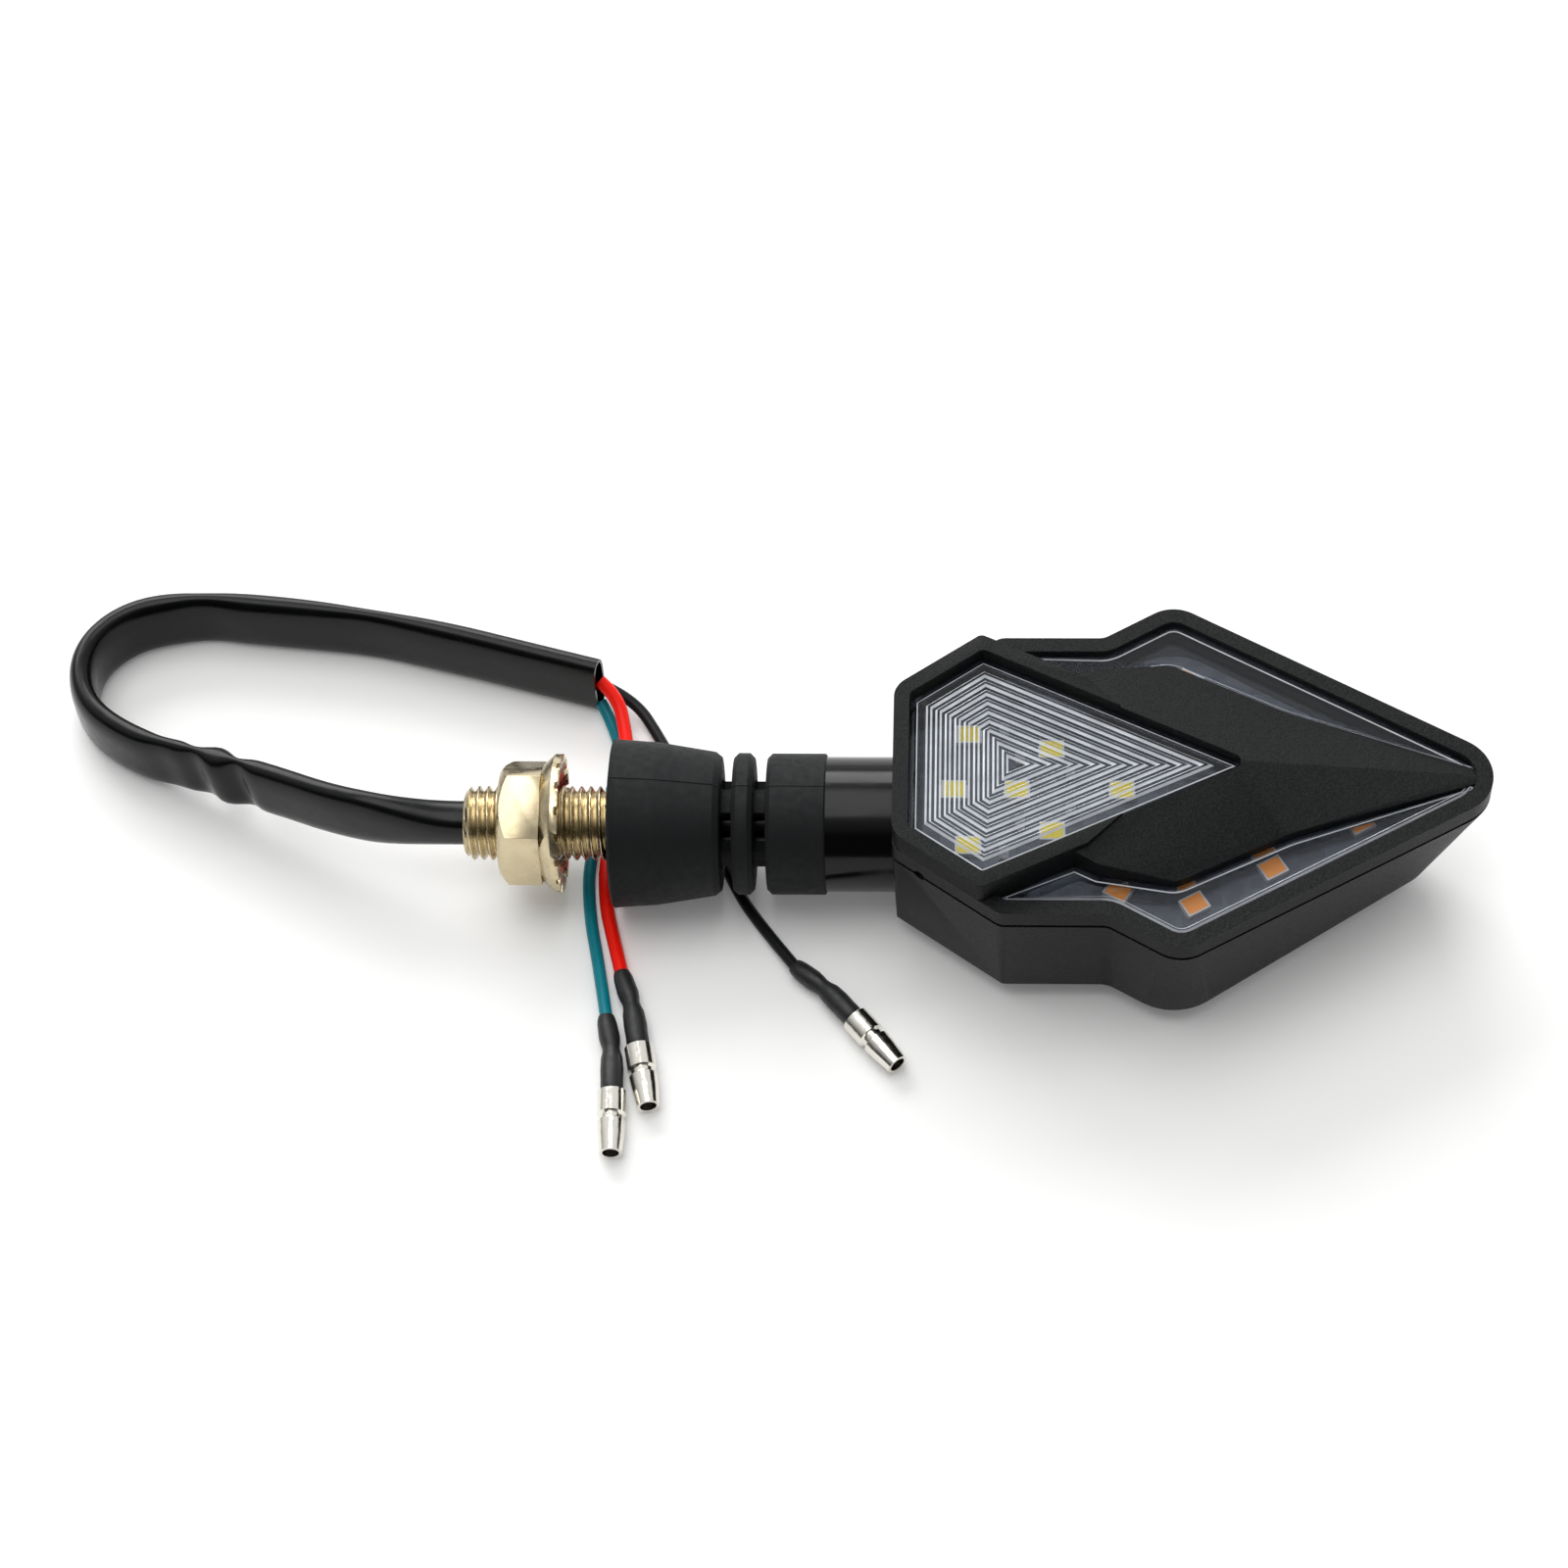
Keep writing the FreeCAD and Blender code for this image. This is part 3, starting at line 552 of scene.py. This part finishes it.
def heat_shrink(colour):
    """Shrink sleeve over the joint of wire and terminal, waisted where the wire ends and the crimp begins."""
    start = place(*WIRE_ROUTES[colour][-1])
    end = place(*SHRINK_ENDS[colour], SURFACE + BULLET_RADIUS)
    axis = (end - start).normalized()
    side = Vector((-axis.y, axis.x, 0.0)).normalized()
    tall = axis.cross(side)
    loops = []
    for share, radius in SHRINK_PROFILE:
        sag = side * (SHRINK_SAG * math.sin(math.pi * share) ** 2)
        loop = []
        for k in range(SHRINK_SIDES):
            angle = 2 * math.pi * k / SHRINK_SIDES
            pucker = 1 + SHRINK_PUCKER * math.sin(3 * angle + 9 * share)
            out = (side * math.cos(angle) + tall * math.sin(angle)) * radius * pucker
            loop.append(start.lerp(end, share) + (sag + out) * MM)
        loops.append(loop)
    name = f"{colour}_crimp_sleeve"
    mesh = closed_mesh(name, *ring_loops(loops))
    return add_piece(name, mesh, CORD_BODY, [SHRINK], 50, (f"{colour}_heat_shrink",))


cable_sleeve()
for wire_colour in WIRE_ROUTES:
    wire(wire_colour)


# ---- threaded stud ----
STUD_LEFT = -19.6
THREAD_CREST = 5.0
THREAD_ROOT = 4.28
THREAD_PITCH = 1.25
THREAD_STEPS = 221
THREAD_FLANK = (0.06, 0.43)     # shares of the pitch, from the root's middle, between which the flank climbs
THREAD_RUNOUT = 1.1             # how steeply the crest falls away at the stud's ends
THREAD_SINK = 0.03              # how far its ends dip into the core
THREAD_SIZES = {
    "Pitch": THREAD_PITCH * MM, "Crest Radius": THREAD_CREST * MM, "Root Radius": THREAD_ROOT * MM,
    "Length": -STUD_LEFT * MM,
}
STUD_BORE = 3.0
STUD_CORE = 4.2
STUD_FLARE = 0.25               # the bore's chamfer
STUD_CHAMFER = 0.15
STUD_SUNK = 1.5                 # how far the core reaches into the boot
ROUND_SIDES = 72


def turned_mesh(name, profile):
    """A mesh turned about the stem's axis from (along, radius) points that go round its section."""
    loops = []
    for along, radius in profile:
        loop = []
        for k in range(ROUND_SIDES):
            angle = 2 * math.pi * k / ROUND_SIDES
            loop.append(place(along, radius * math.cos(angle), radius * math.sin(angle)))
        loops.append(loop)
    return closed_mesh(name, *ring_loops(loops, joined=True))


def thread_tree():
    """Node tree of a screw thread: a sheet rolled round X whose radius rises and falls with the helix."""
    tree = bpy.data.node_groups.new("screw_thread", "GeometryNodeTree")
    face = tree.interface
    for name, value in THREAD_SIZES.items():
        face.new_socket(name, in_out="INPUT", socket_type="NodeSocketFloat").default_value = value
    face.new_socket("Metal", in_out="INPUT", socket_type="NodeSocketMaterial")
    face.new_socket("Geometry", in_out="OUTPUT", socket_type="NodeSocketGeometry")
    given = add_node(tree, "NodeGroupInput").outputs
    sheet = add_node(tree, "GeometryNodeMeshGrid", {
        "Size X": given["Length"], "Size Y": 1.0, "Vertices X": THREAD_STEPS, "Vertices Y": ROUND_SIDES + 1})
    position = add_node(tree, "GeometryNodeInputPosition")
    here = add_node(tree, "ShaderNodeSeparateXYZ", {0: position.outputs[0]}).outputs

    def reckon(operation, a, b=0.0):
        return add_node(tree, "ShaderNodeMath", {0: a, 1: b}, operation=operation).outputs[0]

    turn = reckon("MULTIPLY", here["Y"], 2 * math.pi)
    phase = reckon("SUBTRACT", reckon("DIVIDE", here["X"], given["Pitch"]), here["Y"])
    slope = reckon("PINGPONG", phase, 0.5)
    flank = spread(tree, slope, given["Root Radius"], given["Crest Radius"], *THREAD_FLANK)
    from_end = reckon("SUBTRACT", reckon("DIVIDE", given["Length"], 2.0), reckon("ABSOLUTE", here["X"]))
    limit = reckon("ADD", reckon("MULTIPLY", from_end, THREAD_RUNOUT), (STUD_CORE - THREAD_SINK) * MM)
    radius = reckon("MINIMUM", flank, limit)
    rolled = add_node(tree, "ShaderNodeCombineXYZ", {
        "X": here["X"], "Y": reckon("MULTIPLY", radius, reckon("COSINE", turn)),
        "Z": reckon("MULTIPLY", radius, reckon("SINE", turn))})
    shaped = add_node(tree, "GeometryNodeSetPosition", {0: sheet.outputs[0], "Position": rolled.outputs[0]})
    joined = add_node(tree, "GeometryNodeMergeByDistance", {0: shaped.outputs[0], "Distance": 1e-6})
    real = add_node(tree, "GeometryNodeRealizeInstances", {0: joined.outputs[0]})
    coated = add_node(tree, "GeometryNodeSetMaterial", {0: real.outputs[0], "Material": given["Metal"]})
    add_node(tree, "NodeGroupOutput", {0: coated.outputs[0]})
    return tree


def run_tree(name, tree, base, values):
    """Runs a node tree on a mesh with its named inputs and returns the result as a plain mesh."""
    holder = bpy.data.objects.new(name, base)
    bpy.context.scene.collection.objects.link(holder)
    modifier = holder.modifiers.new(name, "NODES")
    modifier.node_group = tree
    for item in tree.interface.items_tree:
        if item.in_out == "INPUT" and item.name in values:
            modifier[item.identifier] = values[item.name]
    return plain_mesh(holder, name)


def stud_thread():
    """The rolled right-hand thread, and the hollow core that it is cut in."""
    blank = bpy.data.meshes.new("blank")
    thread = run_tree("stud_thread", thread_tree(), blank, {**THREAD_SIZES, "Metal": NICKEL})
    thread.transform(Matrix.Translation(place(STUD_LEFT / 2, 0, 0)))
    outward(thread)
    thread.materials.clear()
    add_piece("stud_thread", thread, "mount_side", [NICKEL], 50, ("mounting_stud",))
    core = turned_mesh("stud_core", [
        (STUD_LEFT, STUD_BORE + STUD_FLARE), (STUD_LEFT, STUD_CORE - STUD_CHAMFER),
        (STUD_LEFT + STUD_CHAMFER, STUD_CORE), (STUD_SUNK, STUD_CORE), (STUD_SUNK, STUD_BORE),
        (STUD_LEFT + STUD_FLARE, STUD_BORE)])
    add_piece("stud_core", core, "mount_side", [NICKEL], 35, ("mounting_stud",))


stud_thread()


# ---- necks of the stalk ----
NECK_BORE = 3.6
NECK_RADIUS = 5.9
WEB_ANGLE = math.radians(36.0)
WEB_COUNT = 4
WEB_STEPS = 10
ROOT_LENGTH = 0.35      # the fillet where a web meets the part beside it
ROOT_ANGLE = 0.09       # how much wider it is there, in radians to each side
ROOT_RISE = 0.25        # and how much further out


def neck(name, node, left, right):
    """Rubber webs round the stem, a little wider at their roots, fixed in the row's frame."""
    skins = []
    for web in range(WEB_COUNT):
        middle = 2 * math.pi * web / WEB_COUNT
        loops = []
        for i in range(WEB_STEPS + 1):
            t = i / WEB_STEPS
            along = left + (right - left) * t
            root = max(0.0, 1 - min(t, 1 - t) * (right - left) / ROOT_LENGTH)
            half = WEB_ANGLE / 2 + ROOT_ANGLE * root * root
            outer = NECK_RADIUS + ROOT_RISE * root * root
            loop = []
            for radius, shares in ((NECK_BORE, (-1, -0.5, 0, 0.5, 1)), (outer, (1, 0.5, 0, -0.5, -1))):
                for share in shares:
                    angle = middle + share * half
                    loop.append(place(along, radius * math.sin(angle), radius * math.cos(angle)))
            loops.append(loop)
        skins.append(ring_loops(loops))
    mesh = closed_mesh(name, *join_skins(skins))
    piece = add_piece(name, mesh, None, [RUBBER], 40, (node,))
    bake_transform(piece)


neck("inner_neck_webs", "stalk_neck_inner", 14.8, 16.5)
neck("outer_neck_webs", "stalk_neck_outer", 19.2, 21.0)


# ---- mould seams of the rubber ----
FLASH_FOOT = 0.12       # half its width in the rubber
FLASH_EDGE = 0.048      # and at its edge
FLASH_DEPTH = 0.1
FLASH_HEIGHT = 0.09
BOOT_SURFACE = [(0.5, 11.33), (1.2, 11.25), (6.3, 10.9), (14.0, 9.65), (14.7, 9.1)]     # (along, radius)
DISC_SURFACE = [(16.6, 9.0), (17.1, 9.5), (18.6, 9.5), (19.1, 9.0)]
COLLAR_SURFACE = [(21.1, 8.95), (21.6, 9.45), (28.8, 9.45)]


def mould_flash(name, surface, body):
    """The thin glossy line that the two halves of the mould leave along a rubber part, above and below."""
    skins = []
    for side in (1, -1):
        loops = []
        for along, radius in surface:
            low, high = (radius - FLASH_DEPTH) * side, (radius + FLASH_HEIGHT) * side
            corners = ((-FLASH_FOOT, low), (FLASH_FOOT, low), (FLASH_EDGE, high), (-FLASH_EDGE, high))
            loops.append([place(along, across, up) for across, up in corners])
        skins.append(ring_loops(loops))
    add_piece(name, closed_mesh(name, *join_skins(skins)), body, [BLACK_PVC], 30)


mould_flash("boot_mould_seam", BOOT_SURFACE, "mount_side")
mould_flash("disc_mould_seam", DISC_SURFACE, "stalk_disc")
mould_flash("collar_mould_seam", COLLAR_SURFACE, "lamp_head")


# ---- lamp head ----
SQUARE_ON = 0.995       # a face whose normal has this much of X or Z lies square to that axis


def slanted(face):
    """Whether a face is turned away from both the stem's direction and the vertical."""
    return max(abs(face.normal.x), abs(face.normal.z)) < SQUARE_ON


def merge_flat_faces(shell):
    """Joins a CAD mesh's triangles into larger flat faces, and keeps the openings in its square-on faces."""
    bmesh.ops.remove_doubles(shell, verts=shell.verts, dist=CAD_DOUBLED)
    inner = [edge for edge in shell.edges if all(slanted(face) for face in edge.link_faces)]
    bmesh.ops.dissolve_limit(shell, angle_limit=math.radians(0.4), verts=[], edges=inner)
    bmesh.ops.join_triangles(
        shell, faces=shell.faces, angle_face_threshold=math.radians(0.5), angle_shape_threshold=math.pi)


def softened(node, name, width, angle, material, body):
    """A CAD node's shape with its sharp edges rounded a little, as moulding and handling leave them."""
    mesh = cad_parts[node].data.copy()
    mesh.materials.clear()
    mesh.materials.append(material)
    shell = bmesh.new()
    shell.from_mesh(mesh)
    merge_flat_faces(shell)
    shell.to_mesh(mesh)
    shell.free()
    mesh.shade_smooth()
    holder = bpy.data.objects.new(name, mesh)
    bpy.context.scene.collection.objects.link(holder)
    edge = holder.modifiers.new("edge", "BEVEL")
    edge.width = width * MM
    edge.segments = 2
    edge.limit_method = "ANGLE"
    edge.angle_limit = math.radians(angle)
    edge.use_clamp_overlap = True
    edge.harden_normals = True
    add_piece(name, plain_mesh(holder, name), body, [], angle, (node,))


softened("front_bezel", "bezel_moulding", 0.2, 20, ABS, "lamp_head")
softened("rear_housing", "housing_moulding", 0.3, 20, ABS, "lamp_head")
softened("lock_nut", "hexagon_nut", 0.15, 28, NICKEL, "lock_nut")
softened("lock_washer", "toothed_washer", 0.12, 28, NICKEL, "lock_washer")

WINDOW = [(40.0, 10.35), (49.6, 17.35), (84.7, 0.0), (49.6, -17.35), (40.0, -10.35)]
RIDGE_START = 2.6
RIDGE_STEP = 1.25
RIDGE_COUNT = 9
RIDGE_PROFILE = ((-0.42, 0.0), (-0.16, 0.34), (0.16, 0.34), (0.42, 0.0))   # (across, up) over one ridge
RIDGE_FLANKS = (0, 2)       # the stretches of that profile that carry the painted highlight
LENS_TOP = 14.55
# The lens's section without its ridges: (distance inside the window's outline, height). It goes from the
# underside round the skirt and up to the plateau.
LENS_SECTION = [
    (8.0, 12.9), (1.9, 12.9), (1.4, 11.1), (-0.85, 11.1), (-0.85, 12.1), (0.12, 12.15), (0.12, 14.0),
    (0.7, 14.05), (0.95, LENS_TOP - 0.1), (1.1, LENS_TOP),
]
PLATEAU_EDGE = 8            # the stretch of that section that rounds the plateau's edge, and carries the painted highlight too


def line_crossing(first, second):
    """Where two lines meet, each given by its normal and its distance."""
    (a1, b1, c1), (a2, b2, c2) = first, second
    cross = a1 * b2 - a2 * b1
    return (c1 * b2 - c2 * b1) / cross, (a1 * c2 - a2 * c1) / cross


def window_inset(distance):
    """The window's outline moved inwards; the two short slanted sides close up once the outline is small."""
    lines = []
    for a, b in zip(WINDOW, WINDOW[1:] + WINDOW[:1]):
        length = math.hypot(b[0] - a[0], b[1] - a[1])
        nx, ny = (b[1] - a[1]) / length, (a[0] - b[0]) / length
        lines.append((nx, ny, nx * a[0] + ny * a[1] + distance))
    corners = [line_crossing(lines[i - 1], lines[i]) for i in range(len(lines))]
    if corners[1][0] <= corners[0][0]:
        top = line_crossing(lines[4], lines[1])
        bottom = line_crossing(lines[2], lines[4])
        corners = [top, top, corners[2], bottom, bottom]
    return corners


def main_lens():
    """Clear lens: a skirt behind the bezel's ledge, a plateau with concentric ridges, a flat underside."""
    steps = list(LENS_SECTION)
    glint_stretches = {PLATEAU_EDGE}
    for k in range(RIDGE_COUNT):
        glint_stretches |= {len(steps) + stretch for stretch in RIDGE_FLANKS}
        steps += [(RIDGE_START + RIDGE_STEP * k + across, LENS_TOP + up) for across, up in RIDGE_PROFILE]
    loops = [[place(*corner, height) for corner in window_inset(distance)] for distance, height in steps]
    vertices, faces = ring_loops(loops)
    mesh = bpy.data.meshes.new("window_lens")
    mesh.from_pydata([tuple(v) for v in vertices], [], faces)
    # Ridge flanks and the plateau's rounded edge take the painted highlight material.
    for face in mesh.polygons:
        face.material_index = int(face.index // len(WINDOW) in glint_stretches)
    outward(mesh)
    add_piece("window_lens", mesh, "lamp_head", [CLEAR, PAINTED_GLINT], None, ("drl_lens",))


main_lens()


# Rings with material 1 take the painted highlight material, as bright lines along the strip lens's edges.
STRIP_STEPS = ((0.45, 0.0, 0), (0.18, 0.3, 1), (0.25, 0.0, 0), (0.12, -0.12, 1))   # (width, rise, material)


def strip_lens(node, name):
    """A side strip's lens: its CAD shape with a step moulded along the edge of its front, whose narrow rings
    carry a painted highlight.
    """
    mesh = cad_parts[node].data.copy()
    mesh.materials.clear()
    shell = bmesh.new()
    shell.from_mesh(mesh)
    bmesh.ops.remove_doubles(shell, verts=shell.verts, dist=CAD_DOUBLED)
    top = max(v.co.z for v in shell.verts)
    front = [f for f in shell.faces if all(top - v.co.z < 1e-6 for v in f.verts)]
    front = bmesh.ops.dissolve_faces(shell, faces=front)["region"]
    for width, rise, number in STRIP_STEPS:
        ring = bmesh.ops.inset_region(
            shell, faces=front, thickness=width * MM, depth=rise * MM,
            use_even_offset=False, use_boundary=True)
        for face in ring["faces"]:
            face.material_index = number
    shell.to_mesh(mesh)
    shell.free()
    add_piece(name, mesh, "lamp_head", [CLEAR, PAINTED_GLINT], None, (node,))


strip_lens("upper_strip_lens", "upper_strip_clear")
strip_lens("lower_strip_lens", "lower_strip_clear")

# ---- LEDs ----
BOARD_TOP = 8.0
LED_SIZES = {"Length": 3.5 * MM, "Width": 2.8 * MM, "Height": 0.8 * MM}
# Each LED is (along, across, turn in degrees).
WHITE_LEDS = [
    (45.9, 0.0, 0), (54.2, 0.0, 0), (68.0, 0.0, 0),
    (47.8, 8.7, 0), (47.8, -8.7, 0), (58.8, 6.4, 0), (58.8, -6.4, 0),
]
AMBER_HALF = [(67.3, 15.5, 31.0), (77.1, 17.5, -30.0), (87.35, 11.95, -30.0), (98.9, 4.95, -30.0)]
AMBER_LEDS = AMBER_HALF + [(along, -across, -turn) for along, across, turn in AMBER_HALF]


def led_tree():
    """Node tree that sets an LED on each point: a package, its phosphor field and the solder at its ends."""
    tree = bpy.data.node_groups.new("led_row", "GeometryNodeTree")
    face = tree.interface
    face.new_socket("Geometry", in_out="INPUT", socket_type="NodeSocketGeometry")
    for name, value in LED_SIZES.items():
        face.new_socket(name, in_out="INPUT", socket_type="NodeSocketFloat").default_value = value
    for name in ("Package", "Phosphor", "Solder"):
        face.new_socket(name, in_out="INPUT", socket_type="NodeSocketMaterial")
    face.new_socket("Geometry", in_out="OUTPUT", socket_type="NodeSocketGeometry")
    given = add_node(tree, "NodeGroupInput").outputs

    def share(value, factor):
        return add_node(tree, "ShaderNodeMath", {0: value, 1: factor}, operation="MULTIPLY").outputs[0]

    def block(material, length, width, height, low):
        """A block sized in shares of the LED, with its underside at the share low of the LED's height."""
        size = add_node(tree, "ShaderNodeCombineXYZ", {
            "X": share(given["Length"], length), "Y": share(given["Width"], width),
            "Z": share(given["Height"], height)})
        cube = add_node(tree, "GeometryNodeMeshCube", {"Size": size.outputs[0]})
        lift = add_node(tree, "ShaderNodeCombineXYZ", {"Z": share(given["Height"], low + height / 2)})
        raised = add_node(tree, "GeometryNodeTransform", {0: cube.outputs[0], "Translation": lift.outputs[0]})
        return add_node(tree, "GeometryNodeSetMaterial", {0: raised.outputs[0], "Material": given[material]})

    led = add_node(tree, "GeometryNodeJoinGeometry")
    for part in (block("Package", 0.94, 1.0, 0.94, 0.04), block("Phosphor", 0.8, 0.84, 0.12, 0.87),
                 block("Solder", 1.0, 0.7, 0.12, 0.0)):
        tree.links.new(part.outputs[0], led.inputs[0])
    turn = add_node(tree, "GeometryNodeInputNamedAttribute", {"Name": "turn"}, data_type="FLOAT")
    rotation = add_node(tree, "ShaderNodeCombineXYZ", {"Z": turn.outputs[0]})
    set_down = add_node(tree, "GeometryNodeInstanceOnPoints", {
        "Points": given["Geometry"], "Instance": led.outputs[0], "Rotation": rotation.outputs[0]})
    real = add_node(tree, "GeometryNodeRealizeInstances", {0: set_down.outputs[0]})
    add_node(tree, "NodeGroupOutput", {0: real.outputs[0]})
    return tree


def leds(name, places, light, node):
    """LEDs on the board at their places, turned as given."""
    points = bpy.data.meshes.new(name)
    points.from_pydata([tuple(place(along, across, BOARD_TOP)) for along, across, turn in places], [], [])
    turns = points.attributes.new("turn", "FLOAT", "POINT")
    for item, (along, across, turn) in zip(turns.data, places):
        item.value = math.radians(turn)
    materials = {"Package": PACKAGE, "Phosphor": light, "Solder": TINNED}
    mesh = run_tree(name, LED_TREE, points, {**LED_SIZES, **materials})
    add_piece(name, mesh, "lamp_head", [], None, (node,))


LED_TREE = led_tree()
leds("white_led_row", WHITE_LEDS, PHOSPHOR_YELLOW, "white_leds")
leds("amber_led_row", AMBER_LEDS, PHOSPHOR_AMBER, "amber_leds")

# ---- CAD nodes that keep their shape ----
for node_names, material in (
    (("stalk_base", "stalk_disc", "stalk_collar", "housing_seal"), RUBBER),
    (("arm_tube",), POLISHED),
    (("cable_core", "head_harness"), SLEEVE_PVC),
    (("red_bullet_terminal", "teal_bullet_terminal", "black_bullet_terminal"), TINNED),
    (("led_board",), BOARD),
    (("resistors",), CHIP),
    (("red_board_lead",), RED_PVC),
    (("teal_board_lead",), TEAL_PVC),
    (("black_board_lead",), BLACK_PVC),
):
    for node_name in node_names:
        dress(node_name, material)


# ---- studio ----
LIGHT_AIM = Vector((0.0, 0.0, 0.01))
FLOOR_REACH = 3.0
BRIGHT_SKY = (0.0, 0.65, 0.75)      # the sky is brightest this way, behind and above the part


def softbox(name, location, size, power):
    """A large soft light that faces the part."""
    data = bpy.data.lights.new(name, "AREA")
    data.shape = "RECTANGLE"
    data.size, data.size_y = size
    data.energy = power
    light = bpy.data.objects.new(name, data)
    bpy.context.scene.collection.objects.link(light)
    light.location = location
    look_at(light, LIGHT_AIM)


def floor_card():
    """The white card that the part lies on."""
    mesh = bpy.data.meshes.new("studio_floor")
    corners = ((-1, -1), (1, -1), (1, 1), (-1, 1))
    mesh.from_pydata([(x * FLOOR_REACH, y * FLOOR_REACH, 0) for x, y in corners], [], [(0, 1, 2, 3)])
    mesh.materials.append(studio_floor())
    floor = bpy.data.objects.new("studio_floor", mesh)
    bpy.context.scene.collection.objects.link(floor)


def sky():
    """A white surrounding that grows brighter towards the back and the top."""
    world = bpy.data.worlds.new("studio")
    bpy.context.scene.world = world
    world.use_nodes = True
    tree = world.node_tree
    way = add_node(tree, "ShaderNodeTexCoord").outputs["Generated"]
    away = add_node(tree, "ShaderNodeVectorMath", {0: way, 1: BRIGHT_SKY}, operation="DOT_PRODUCT")
    glow = spread(tree, away.outputs["Value"], 0.06, 0.85, -0.05, 0.7)
    tree.links.new(glow, tree.nodes["Background"].inputs["Strength"])
    tree.nodes["Background"].inputs["Color"].default_value = (1, 1, 1, 1)


floor_card()
sky()
softbox("back_softbox", (-0.5, 1.3, 1.0), (1.3, 0.8), 17.0)
softbox("overhead_softbox", (-0.2, 0.1, 1.4), (1.2, 0.8), 7.0)
bpy.context.scene.view_settings.view_transform = "Standard"
